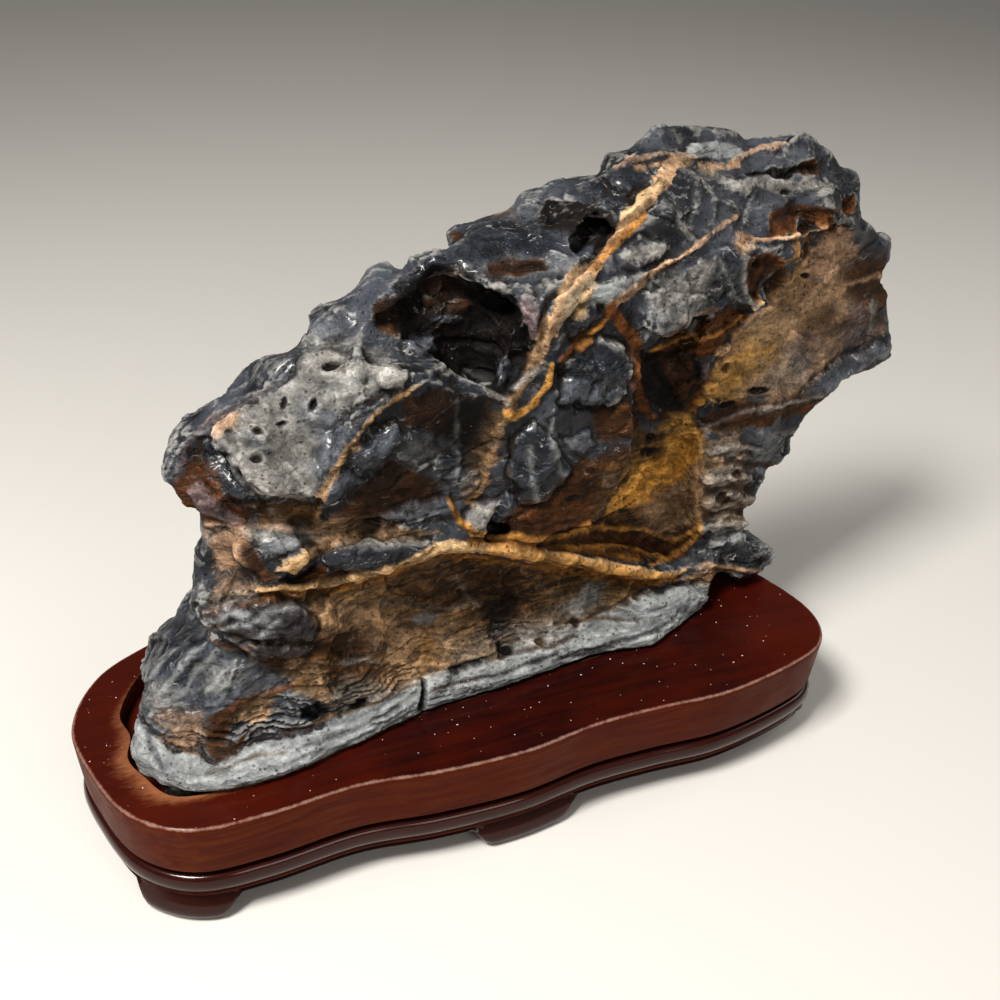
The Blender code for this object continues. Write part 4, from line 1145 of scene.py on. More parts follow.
    def _stains_with_painted_light(self, bench: NodeBench, read: Sockets, weave: Sockets) -> Socket:
        """The stains' colour: mottled, with a painted highlight on ridges and painted shade in hollows."""
        clouds = bench.step(bench.noise(weave["laid"], 230.0, 6.0, 0.75), 0.34, 0.66)
        grit = bench.step(bench.mix(0.5, weave["fine"], weave["fibre"]), 0.34, 0.66)
        # Painted highlight on ridges and painted shade in hollows.
        wear_and_painted_light = bench.plus(bench.times(read["ridge"], 0.42), 0.74)
        wear_and_painted_light = bench.times(wear_and_painted_light, bench.spread(read["hollow"], 1.0, 0.36))
        tone = bench.times(bench.times(bench.spread(clouds, 0.50, 1.40), bench.spread(grit, 0.58, 1.42)), wear_and_painted_light)
        tone = bench.add("Mix", {0: bench.times(read["even"], 0.42), 2: tone, 3: 0.92}).outputs[0]
        grey = bench.add("CombineColor", {0: tone, 1: tone, 2: tone}).outputs[0]
        return bench.mix(1.0, bench.reading("stain_and_shade", "Color"), grey, "MULTIPLY")

    def _hair(self, bench: NodeBench, read: Sockets, weave: Sockets) -> Socket:
        """A mask of hair-thin pale veinlets, most of them on the glossy blue-black lumps."""
        some = bench.step(bench.noise(weave["place"], 75.0, 3.0), 0.44, 0.60)
        hair = bench.times(bench.step(weave["fibre"], 0.575, 0.67), some)
        return bench.times(hair, bench.spread(read["gloss"], 0.30, 0.85))

    def _threads(self, bench: NodeBench, read: Sockets, weave: Sockets) -> Socket:
        """A mask of a loose net of dust lines, bent and broken, on what stands out."""
        net = bench.add("TexVoronoi", {"Vector": weave["laid"], "Scale": 96.0}, feature="DISTANCE_TO_EDGE")
        thread = bench.step(net.outputs["Distance"], 0.085, 0.0)
        thread = bench.times(thread, bench.step(weave["swirl"], 0.44, 0.66))
        lined = bench.times(bench.times(thread, thread), bench.step(weave["broad"], 0.42, 0.62))
        return bench.times(lined, bench.spread(bench.step(read["hollow"], 0.1, 0.5), 0.55, 0.0))


@dataclass(frozen=True)
class LacqueredWood:
    """Red-brown wood under dark lacquer, worn pale along its edges."""

    slot: str = "lacquered_wood"
    deep: Triple = (0.016, 0.0035, 0.0035)
    red: Triple = (0.070, 0.0085, 0.0025)
    # Amber on the side: partly the wood's colour, partly a painted reflection of warm orange surroundings.
    amber: Triple = (0.115, 0.024, 0.0020)
    wear_and_painted_light: Triple = (0.30, 0.13, 0.06)
    scuff: Triple = (0.34, 0.22, 0.18)
    bump_depth: float = 0.0004
    specular: float = 0.08
    coat_rough: float = 0.12

    def build(self, effects: SharedEffects) -> Material:
        """Makes the material.

        Args:
            effects: the shared shader groups.

        Returns:
            The stand's material, which reads the attributes side, rim, socket and moulding.
        """
        mat, bench, place = new_finish("lacquered_wood")
        side, rim, socket, moulding = (bench.reading(name) for name in ("side", "rim", "socket", "moulding"))
        across = bench.add("SeparateXYZ", {0: place}).outputs["X"]

        grain = bench.noise(bench.stretch(place, (0.10, 1.0, 1.3), (0.05, 0.02, 0.12)), 420.0, 6.0, 0.62, 0.6)
        pores = bench.noise(bench.stretch(place, (0.05, 1.0, 1.0)), 1500.0, 3.0, 0.6)
        cloud = bench.noise(place, 28.0, 3.0, 0.5)
        top = bench.mix(bench.spread(bench.step(grain, 0.30, 0.75), 0.0, 0.42), self.deep, self.red)
        ends = bench.step(bench.math("ABSOLUTE", bench.plus(across, 0.005)), 0.035, 0.085)
        top = bench.mix(bench.times(bench.plus(ends, bench.step(cloud, 0.42, 0.72)), 0.5), top, self.red)
        # The side's amber is partly the wood's colour and partly a painted reflection of warm orange
        # surroundings.
        flank = bench.mix(bench.step(grain, 0.35, 0.70), self.red, self.amber)
        flank = bench.lay(flank, self.red, bench.step(cloud, 0.35, 0.65), 0.5)
        colour = bench.mix(side, top, flank)
        colour = bench.lay(colour, self.deep, moulding, 0.90)
        colour = bench.lay(colour, self.deep, bench.step(pores, 0.60, 0.75), 0.35)

        # Here it is real wear, pale round the seat's edge.
        wear_and_painted_light = bench.group(effects.ragged, Field=socket, Vector=bench.stretch(place, (0.3, 1.0, 1.0)),
                           Scale=500.0, Amount=0.8, Softness=0.30)
        colour = bench.lay(colour, self.wear_and_painted_light, wear_and_painted_light, 0.75)
        rubbed = bench.group(effects.ragged, Field=rim, Vector=place, Scale=300.0, Amount=0.9, Softness=0.25)
        colour = bench.lay(colour, self.scuff, rubbed, 0.7)

        smear = bench.step(bench.noise(place, 90.0, 4.0, 0.6), 0.3, 0.7)
        rough = bench.plus(bench.spread(smear, 0.16, 0.30), bench.times(side, 0.22))
        rough = bench.minus(rough, bench.times(moulding, 0.22))
        rough = bench.plus(rough, bench.times(bench.plus(wear_and_painted_light, rubbed), 0.25), True)
        height = bench.plus(bench.times(grain, 0.6), bench.times(pores, 0.4))
        bump = bench.add("Bump", {"Strength": 0.22, "Distance": self.bump_depth, "Height": height}).outputs[0]
        coat = bench.plus(bench.spread(side, 0.22, 0.0), bench.times(moulding, 0.6), True)
        shader = bench.add("BsdfPrincipled", {"Base Color": colour, "Roughness": rough, "Normal": bump,
                                              "Coat Weight": coat})
        shader.inputs["Metallic"].default_value = 0.0
        shader.inputs["Specular IOR Level"].default_value = self.specular
        shader.inputs["Coat Roughness"].default_value = self.coat_rough
        bench.add("OutputMaterial", {"Surface": shader.outputs[0]})
        return mat


@dataclass(frozen=True)
class Lint:
    """Pale dust grains lying on the lacquer."""

    slot: str = "lacquered_wood"
    tint: Triple = (0.62, 0.58, 0.56)
    rough: float = 0.8

    def build(self) -> Material:
        """Makes the material: pale grains, each a little different."""
        mat, bench, place = new_finish("lint")
        colour = bench.mix(bench.noise(place, 300.0, 2.0), BLUSH.value, self.tint)
        shader = bench.add("BsdfPrincipled", {"Base Color": colour})
        shader.inputs["Roughness"].default_value = self.rough
        bench.add("OutputMaterial", {"Surface": shader.outputs[0]})
        return mat


# ---- Stone ----
@dataclass
class Stone:
    """The stone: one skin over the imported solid."""

    view: Viewpoint
    solid: Object
    skin_voxel: float = 1.0
    evened: float = 0.6
    hidden_rounds: int = 45
    seat_fade: float = 1.4
    seat_clear: float = 33.2
    sight_slack: float = 1.3
    dishes: tuple[tuple[float, float], ...] = ((14.0, 1.15), (6.8, 0.55), (3.1, 0.24))
    flake_squeeze: Triple = (0.75, 1.0, 1.25)
    flake_bend: float = 1.6
    seam_depth: float = 0.35
    bedded_from: tuple[float, float] = (85.0, 45.0)
    crust_from: tuple[float, float] = (49.0, 43.0)
    wild_crust_from: tuple[float, float] = (47.0, 43.0)
    rough_size: float = 6.0
    rough_depth: float = 0.50
    layer_height: float = 2.9
    layer_depth: float = 0.28
    leaf_depth: float = 0.50
    pock_size: float = 1.8
    pock_depth: float = 0.40
    lip_reach: float = 6.5
    lip_full: float = 2.0
    lip_end: float = 7.3
    crust_edge: tuple[tuple[float, float], ...] = (
        (-84, -19), (-82, -22.1), (-77.2, -25.6), (-74, -27.2), (-70, -28.3), (-63, -28.9), (-56, -28.6),
        (-49, -27.3), (-42, -25.3), (-33, -23.4), (-27, -21.5), (-19, -19.5), (-10, -18.7), (0, -18.1),
        (8, -17.6), (14, -16.4), (20, -15.9), (31, -14.3), (40, -15.0), (48, -16.6), (56, -12.9), (63, -10.0),
        (71, -6.2),
    )
    wild_veins: tuple[tuple[StainAndShade, float, float], ...] = ((SAND, 62.0, 0.040), (OCHRE, 40.0, 0.030),
                                                          (CHALK, 26.0, 0.012))
    most_triangles: int = 196000
    grain: Grain = field(default_factory=Grain)

    def build(self) -> Object:
        """Meshes, carves and colours the stone.

        Returns:
            The stone's object, with the attributes that its finish reads.
        """
        obj = self._skin()
        self._refine(obj)
        mesh = obj.data
        edges = edge_array(mesh)
        points = corner_array(mesh)
        points = points + self.evened * (neighbour_mean(points, edges, 2) - points)
        points[:, 1] -= self._lip(points, neighbour_mean(normal_array(mesh), edges, 6))
        put_corners(mesh, points)
        seen = neighbour_mean(self._seen(mesh), edges, 2)
        normals = neighbour_mean(normal_array(mesh), edges, 6)
        normals /= np.linalg.norm(normals, axis=1)[:, None]
        hidden = smooth_step(0.55, 0.98, neighbour_mean(1.0 - seen, edges, self.hidden_rounds))
        layers = self._marks(points, normals, seen, hidden)
        rise = layers.rise + self._relief(points, normals) * (1.0 - layers.calm)
        above = points[:, 2] - self.seat_clear
        rise *= smooth_step(0.0, self.seat_fade, above)
        points = points + normals * rise[:, None]
        points[:, 2] = np.where(above > 0.0, np.maximum(points[:, 2], self.seat_clear), points[:, 2])
        put_corners(mesh, points)
        self._shade_fields(mesh, points, edges)
        # Painted shade: near black on faces that look down just above the seat, under the crust's overhang, and
        # on the foot where it sits in the seat.
        under = smooth_step(-0.40, -0.80, normals[:, 2]) * smooth_step(6.0, 1.0, above)
        painted_contact_shade = smooth_step(0.3, -0.1, above)
        layers.lay(0.95 * np.maximum(under, painted_contact_shade), PITCH)
        put_colour(mesh, "stain_and_shade", layers.tint)
        for name, values in (("cover", layers.cover), ("gloss", layers.gloss),
                             ("bedded", layers.bedded * (1.0 - layers.calm)), ("even", layers.even)):
            put_number(mesh, name, values)
        self._thin(obj)
        obj.data.shade_smooth()
        return obj

    def _thin(self, obj: Object) -> None:
        """Merges faces where the skin is flat, down to the most triangles that the stone may have."""
        thin = obj.modifiers.new("thin", "DECIMATE")
        thin.ratio = min(1.0, self.most_triangles / triangle_count(obj.data))
        bake(obj)

    def _lip(self, points: Array, normals: Array) -> Array:
        """How far the crust's foot is drawn forward, so that it lies over the edge of the seat.

        Args:
            points: the skin's corners.
            normals: the skin's smoothed normals.

        Returns:
            The way to the front of each corner, in millimetres.
        """
        edge = np.array(self.crust_edge) + plan_origin()
        across = points[:, 0]
        reach = np.clip(points[:, 1] - np.interp(across, edge[:, 0], edge[:, 1]), -0.5, self.lip_reach)
        height = points[:, 2] - self.seat_clear - 0.4 * self.grain.fractal(points, 9.0, 3, 780)
        held = smooth_step(edge[0, 0] - 2.0, edge[0, 0] + 2.0, across)
        held *= smooth_step(edge[-1, 0] + 2.0, edge[-1, 0] - 2.0, across)
        held *= smooth_step(0.15, -0.25, normals[:, 1])
        drawn = reach * held * smooth_step(-0.15, 0.25, height)
        return drawn * smooth_step(self.lip_end, self.lip_full, height)

    def _skin(self) -> Object:
        """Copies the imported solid, merges its corners and meshes it evenly."""
        mesh = self.solid.data.copy()
        bm = bmesh.new()
        bm.from_mesh(mesh)
        bmesh.ops.remove_doubles(bm, verts=bm.verts, dist=0.00002)
        bm.to_mesh(mesh)
        bm.free()
        obj = new_object("stone", mesh)
        remesh = obj.modifiers.new("skin", "REMESH")
        remesh.mode = "VOXEL"
        remesh.voxel_size = self.skin_voxel * MM
        remesh.adaptivity = 0.0
        bake(obj)
        return obj

    def _refine(self, obj: Object) -> None:
        """Halves the faces that the viewpoint sees."""
        seen = self._seen(obj.data)
        bm = bmesh.new()
        bm.from_mesh(obj.data)
        bm.verts.ensure_lookup_table()
        edges = [e for e in bm.edges if seen[e.verts[0].index] + seen[e.verts[1].index] > 0.5]
        bmesh.ops.subdivide_edges(bm, edges=edges, cuts=1, use_grid_fill=True)
        bmesh.ops.triangulate(bm, faces=[f for f in bm.faces if len(f.verts) > 4])
        bm.to_mesh(obj.data)
        bm.free()
        obj.data.update()

    def _seen(self, mesh: Mesh) -> Array:
        """1 for each corner that the viewpoint sees, 0 for the others."""
        points, normals = corner_array(mesh), normal_array(mesh)
        faces = [tuple(p.vertices) for p in mesh.polygons]
        tree = BVHTree.FromPolygons([tuple(p) for p in points], faces)
        eye = self.view.eye()
        ways = points - eye
        reach = np.linalg.norm(ways, axis=1)
        ways /= reach[:, None]
        facing = (normals * -ways).sum(1) > -0.15
        seen = np.zeros(len(points))
        start = Vector(eye)
        for i in np.flatnonzero(facing):
            hit = tree.ray_cast(start, Vector(ways[i]))[3]
            seen[i] = 1.0 if hit is None or hit > reach[i] - self.sight_slack else 0.0
        return seen

    def _marks(self, points: Array, normals: Array, seen: Array, hidden: Array) -> Layers:
        """Lays the marks on the skin, one over the other.

        Args:
            points: the skin's corners.
            normals: the skin's smoothed normals.
            seen: how well the viewpoint sees each corner.
            hidden: 1 well away from all that it sees, 0 near it.

        Returns:
            The stains and painted shade, how far the skin is moved outwards and how smooth it stays, from 0 to 1.
        """
        layers = Layers(len(points))
        self._wild_marks(layers, points, normals, hidden)
        drift = np.stack([self.grain.fractal(points, 8.0, 4, salt) for salt in (500, 520)], 1)
        sight = Sight(self.view.pixels(points), seen, self.grain.fractal(points, 3.4, 4, 400), drift)
        for mark in PATCHES + STREAKS + PITS:
            mark.lay(sight, layers)
        return layers

    def _wild_marks(self, layers: Layers, points: Array, normals: Array,
                    hidden: Array) -> None:
        """Lays stains, veins and crust by rule alone, where the viewpoint doesn't see.

        Args:
            layers: takes the stains and the rise.
            points: the skin's corners.
            normals: the skin's smoothed normals.
            hidden: 1 where the viewpoint doesn't see, 0 where it does.
        """
        broad = self.grain.fractal(points, 30.0, 4, 300)
        other = self.grain.fractal(points * np.array([0.6, 1.0, 1.4]), 34.0, 4, 320)
        layers.lay(0.70 * smooth_step(0.10, 0.45, broad) * hidden, LOAM)
        layers.lay(0.75 * smooth_step(0.28, 0.55, other) * hidden, RUST)
        layers.lay(0.70 * smooth_step(0.25, 0.50, -other) * hidden, SLATE)
        dusted = smooth_step(0.55, 0.90, normals[:, 2] + 0.35 * self.grain.fractal(points, 14.0, 4, 340))
        layers.lay(0.70 * dusted * hidden, ASH)
        path = np.stack([points[:, 0], points[:, 1], points @ np.array([0.42, 0.15, 0.90])], 1)
        for step, (tint, size, half) in enumerate(self.wild_veins):
            level = self.grain.fractal(path, size, 3, 360 + 20 * step)
            width = half * (1.0 + 0.7 * self.grain.fractal(points, 9.0, 3, 365))
            vein = smooth_step(1.0, 0.55, np.abs(level - 0.06) / np.maximum(width, 0.003))
            layers.lay(0.92 * vein * hidden, tint)
            layers.rise += 0.5 * vein * hidden
        foot = points[:, 2] + 3.5 * self.grain.fractal(points, 18.0, 4, 380)
        layers.lay(0.92 * smooth_step(*self.wild_crust_from, foot) * hidden, CHALK)

    def _relief(self, points: Array, normals: Array) -> Array:
        """Carves the stone by rule: flakes, layers, roughness and pocks.

        Args:
            points: the skin's corners.
            normals: the skin's smoothed normals.

        Returns:
            How far each corner is moved outwards.
        """
        shift = self._flakes(points)
        self._bed(shift, points, 1.0 - normals[:, 2] ** 2)
        rugged = 0.45 + 0.85 * smooth_step(-0.4, 0.6, self.grain.fractal(points, 24.0, 3, 740))
        shift *= rugged
        shift += self.rough_depth * rugged * self.grain.fractal(points, self.rough_size, 5, 800)
        pocks = self.grain.value(points, self.pock_size, 900)
        shift -= self.pock_depth * rugged * smooth_step(0.55, 0.85, pocks)
        return shift

    def _flakes(self, points: Array) -> Array:
        """Dished and tilted flakes of three sizes, each with a fine seam round it."""
        drift = np.stack([self.grain.fractal(points, 12.0, 3, 40 * axis) for axis in range(3)], 1)
        squeezed = (points + self.flake_bend * drift) * np.array(self.flake_squeeze)
        shift = np.zeros(len(points))
        for step, (size, depth) in enumerate(self.dishes):
            near, gap, away, tilt, lift = self.grain.cells(squeezed, size, 100 * step)
            shift += depth * (0.9 * near ** 2 - 0.45 + 0.7 * (tilt * away).sum(1) + 0.25 * lift)
            shift -= self.seam_depth * depth * smooth_step(0.10, 0.0, gap)
        return shift

    def _bed(self, shift: Array, points: Array, upright: Array) -> None:
        """Adds thin layers low on the stone, and thinner leaves in its crust.

        Args:
            shift: how far each corner is moved outwards, which is changed.
            points: the skin's corners.
            upright: 1 where the skin stands upright, 0 where it lies level.
        """
        low = smooth_step(*self.bedded_from, points[:, 2])
        level = (points[:, 2] + 0.12 * points[:, 0]) / self.layer_height
        level = level + 1.3 * self.grain.fractal(points, 22.0, 3, 700)
        part = level - np.floor(level)
        patchy = smooth_step(-0.3, 0.5, self.grain.fractal(points, 16.0, 3, 720))
        shift += self.layer_depth * low * patchy * upright * (1.0 - 2.2 * part ** 2)
        leaf = 2.1 * level + 0.6 * self.grain.fractal(points, 9.0, 3, 760)
        part = leaf - np.floor(leaf)
        crust = smooth_step(*self.crust_from, points[:, 2])
        shift += self.leaf_depth * crust * upright * (1.0 - 2.4 * part ** 2)

    def _shade_fields(self, mesh: Mesh, points: Array, edges: Array) -> None:
        """Stores how far each corner stands out from, or lies back in, the skin near it and further round it.

        Args:
            mesh: the stone's mesh, which gets the values ridge and hollow.
            points: its corners.
            edges: its edges.
        """
        normals = neighbour_mean(normal_array(mesh), edges, 3)
        fine = ((points - neighbour_mean(points, edges, 6)) * normals).sum(1)
        wide = ((points - neighbour_mean(points, edges, 60)) * normals).sum(1)
        back, deep = np.clip(-fine / 0.25, 0.0, 1.0), np.clip(-wide / 1.6, 0.0, 1.0)
        # The finish reads these for a painted highlight on ridges and painted shade in hollows.
        put_number(mesh, "ridge", np.clip(fine / 0.20, 0.0, 1.3) + np.clip(wide / 1.6, 0.0, 0.8))
        put_number(mesh, "hollow", back * 0.6 + deep * 0.6)

    def dress(self, obj: Object, finish: Limestone, effects: SharedEffects) -> None:
        """Gives the stone its finish and hands it over to the frame."""
        obj.data.materials.clear()
        obj.data.materials.append(finish.build(effects))
        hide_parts("rock")
        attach(obj, "root")


# ---- Stand ----
def even_loop(corners: tuple[tuple[float, float], ...], steps: int) -> tuple[Array, float]:
    """Points evenly spaced along a closed smooth curve through corners.

    Args:
        corners: the curve's corners, anticlockwise.
        steps: how many points are wanted.

    Returns:
        The points and the curve's length.
    """
    ring = np.array(corners, float)
    before, after, beyond = np.roll(ring, 1, 0), np.roll(ring, -1, 0), np.roll(ring, -2, 0)
    t = np.linspace(0, 1, 24, endpoint=False)[None, :, None]
    fine = 0.5 * (2 * ring[:, None] + (after - before)[:, None] * t
                  + (2 * before - 5 * ring + 4 * after - beyond)[:, None] * t ** 2
                  + (3 * ring - before - 3 * after + beyond)[:, None] * t ** 3)
    fine = fine.reshape(-1, 2)
    closed = np.vstack([fine, fine[:1]])
    reach = np.concatenate([[0], np.cumsum(np.linalg.norm(np.diff(closed, axis=0), axis=1))])
    wanted = np.linspace(0, reach[-1], steps, endpoint=False)
    return np.stack([np.interp(wanted, reach, closed[:, k]) for k in (0, 1)], 1), float(reach[-1])


def inward(ring: Array) -> Array:
    """Unit normals of an anticlockwise ring that point to its inside."""
    along = np.roll(ring, -2, 0) - np.roll(ring, 2, 0)
    along /= np.linalg.norm(along, axis=1)[:, None]
    return np.stack([-along[:, 1], along[:, 0]], 1)


@dataclass
class Stand:
    """The carved stand: top with the stone's seat, straight side, groove, bead and feet."""

    top: float = 32.6
    bead_top: float = 16.4
    underside: float = 6.6
    seat_floor: float = 27.4
    steps: int = 300
    foot_flat: float = 0.62
    foot_wall: float = 9.0
    foot_swell: float = 1.6
    edge_round: float = 0.9
    top_border: float = 2.6
    sharp: float = 38.0
    plan: tuple[tuple[float, float], ...] = (
        (-100, 5), (-97.5, -12), (-91, -27.5), (-79, -36.6), (-62, -38), (-40, -36.7), (-20, -39.2), (2, -40),
        (22, -37.6), (40, -37.7), (60, -38.6), (82, -35), (94.5, -30), (100, -20), (98.3, -6), (90, 12),
        (72, 28), (46, 36.5), (18, 35), (-8, 33), (-34, 37.5), (-58, 37.5), (-76, 30.5), (-92, 21),
    )
    seat: tuple[tuple[float, float], ...] = (
        (-88.3, 6), (-87, -3), (-88.5, -10), (-86, -16.5), (-80, -25.4), (-66, -27), (-50, -25.6), (-38, -23.2),
        (-20, -18.9), (0, -17.5), (20, -15.3), (38, -13.7), (52, -12.7), (63, -9.4), (70.5, -5.4), (73, 3),
        (70, 13), (60, 21), (36, 27), (6, 28), (-24, 27), (-50, 26), (-70, 25), (-81, 19),
    )
    feet: tuple[tuple[float, float], ...] = ((0.093, 14), (0.275, 15), (0.497, 13), (0.600, 14), (0.775, 15),
                                             (0.920, 14))

    def _foot(self, reach: Array, length: float) -> Array:
        """How far the lower edge comes down at places along the plan: 0 between feet, 1 on their soles."""
        drop = np.zeros(len(reach))
        for middle, half in self.feet:
            away = np.abs((reach - middle * length + length / 2) % length - length / 2) / half
            rise = np.clip((away - self.foot_flat) / (1.0 - self.foot_flat), 0.0, 1.0)
            drop = np.maximum(drop, np.where(away < 1.0, 1.0 - rise ** 2, 0.0))
        return drop

    def _profile(self) -> list[tuple[float, ...]]:
        """The moulding from the top edge down: (inside the plan, height, side, moulding, rim) in rows."""
        rows = [(self.top_border, self.top, 0, 0, 0.0), (self.top_border / 2, self.top, 0, 0, 0.0)]
        bend = self.edge_round
        for k, rim in enumerate((0.28, 0.50, 0.58, 0.34, 0.0)):
            turn = math.radians(90 - 22.5 * k)
            height = self.top - bend + bend * math.sin(turn)
            rows.append((bend - bend * math.cos(turn), height, k / 4, 0.0, rim))
        rows += [(0.05, self.top - 1.7, 1, 0, 0), (0.25, self.top - 6, 1, 0, 0), (0.6, self.top - 11, 1, 0, 0),
                 (0.9, self.bead_top + 0.9, 1, 0.1, 0), (1.5, self.bead_top + 0.35, 1, 0.6, 0),
                 (2.6, self.bead_top, 1, 1, 0), (2.9, self.bead_top - 0.4, 1, 1, 0),
                 (2.7, self.bead_top - 0.9, 1, 1, 0), (1.4, self.bead_top - 1.0, 1, 1, 0)]
        for k in range(9):
            turn = math.radians(80 - 20 * k)
            rows.append((1.25 - 1.25 * math.cos(turn), self.bead_top - 3.7 + 2.6 * math.sin(turn), 1, 0.9, 0))
        rows += [(1.5, self.bead_top - 6.5, 1, 0.9, 0), (1.9, self.bead_top - 7.1, 1, 0.5, 0),
                 (1.5, self.bead_top - 7.3, 0.9, 0.2, 0), (1.3, self.bead_top - 7.8, 0.9, 0.1, 0),
                 (1.5, self.bead_top - 8.3, 1, 0.7, 0), (2.0, self.bead_top - 8.5, 1, 1.0, 0)]
        return rows

    def build(self) -> Object:
        """Models the stand as one closed body.

        Returns:
            The stand's object, with the attributes that its finish reads.
        """
        ring, length = even_loop(self.plan, self.steps)
        into = inward(ring)
        seat = self._seat_ring(ring)
        out = -inward(seat)
        foot = self._foot(np.arange(self.steps) * length / self.steps, length)
        sole = self.underside * (1.0 - foot)
        full = np.ones(self.steps)
        levels: list[tuple] = []
        for push, height in ((-0.3, self.seat_floor), (0.0, self.seat_floor + 0.4), (0.0, self.top - 0.5),
                             (0.15, self.top - 0.12), (0.6, self.top)):
            levels.append((seat + out * push, full * height, 0.0, 0.0, 0.0))
        edge = ring + into * self.top_border
        for share in (0.05, 0.11, 0.18, 0.27, 0.38, 0.52, 0.68, 0.84, 0.94):
            plan = seat + (edge - seat) * share + out * 0.6 * (1 - share)
            levels.append((plan, full * self.top, 0.0, 0.0, 0.0))
        for inset, height, side, dark, rim in self._profile():
            levels.append((ring + into * inset, full * height, side, dark, rim))
        drop = foot * self.foot_swell
        for inset, share in ((1.9, 0.15), (1.2, 0.35), (1.0, 0.55), (1.15, 0.72), (1.6, 0.86), (2.3, 0.96),
                             (3.4, 1.0)):
            height = self.underside + 1.0 * (1 - share) * (1 - foot) + (sole - self.underside) * share
            levels.append((ring + into * (inset + 0.4 - drop)[:, None], height, 1.0, 0.95, 0.0))
        levels.append((ring + into * self.foot_wall, sole, 1.0, 1.0, 0.0))
        levels.append((ring + into * (self.foot_wall + 1.2), full * self.underside, 1.0, 1.0, 0.0))
        return self._sew(levels, seat)

    def _seat_ring(self, ring: Array) -> Array:
        """The seat's outline with its points lined up with the plan's."""
        dense, _ = even_loop(self.seat, 1800)
        middle = dense.mean(0)
        turn_seat = np.unwrap(np.arctan2(*(dense - middle).T[::-1]))
        order = np.argsort(np.mod(turn_seat, 2 * math.pi))
        angles = np.mod(turn_seat, 2 * math.pi)[order]
        wanted = np.mod(np.arctan2(*(ring - middle).T[::-1]), 2 * math.pi)
        return np.stack([np.interp(wanted, angles, dense[order, k], period=2 * math.pi) for k in (0, 1)], 1)

    def _sew(self, levels: list, seat: Array) -> Object:
        """Joins the rings to one closed body at its place, and stores what its finish reads."""
        shift = plan_origin()
        bm = bmesh.new()
        rows, fields = [], []
        left_front = smooth_step(0.0, -75.0, seat[:, 0]) * smooth_step(22.0, -16.0, seat[:, 1])
        for plan, heights, side, dark, rim in levels:
            rows.append([bm.verts.new(((x + shift[0]) * MM, (y + shift[1]) * MM, z * MM))
                         for (x, y), z in zip(plan, heights)])
            near = 1.0 - np.linalg.norm(plan - seat, axis=1) / (1.8 + 6.5 * left_front)
            socket = np.clip(near, 0.0, 1.0) * (0.42 + 0.30 * left_front) * (heights > self.top - 0.6)
            fields.append(np.stack([*(np.full(len(plan), value) for value in (side, dark, rim)), socket], 1))
        count = len(rows[0])
        for inner, outer in zip(rows, rows[1:]):
            for i in range(count):
                j = (i + 1) % count
                bm.faces.new((inner[i], outer[i], outer[j], inner[j]))
        bm.faces.new(rows[0])
        bm.faces.new(list(reversed(rows[-1])))
        bmesh.ops.triangulate(bm, faces=[f for f in bm.faces if len(f.verts) > 4])
        bmesh.ops.recalc_face_normals(bm, faces=bm.faces)
        mesh = bpy.data.meshes.new("carved_stand")
        bm.to_mesh(mesh)
        bm.free()
        for column, name in enumerate(("side", "moulding", "rim", "socket")):
            put_number(mesh, name, np.concatenate(fields)[:, column])
        mesh.shade_smooth()
        mesh.set_sharp_from_angle(angle=math.radians(self.sharp))
        return new_object("carved_stand", mesh)

    def dress(self, obj: Object, finish: LacqueredWood, effects: SharedEffects) -> None:
        """Gives the stand its finish and hands it over to the frame."""
        obj.data.materials.clear()
        obj.data.materials.append(finish.build(effects))
        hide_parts("stand")
        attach(obj, "root")


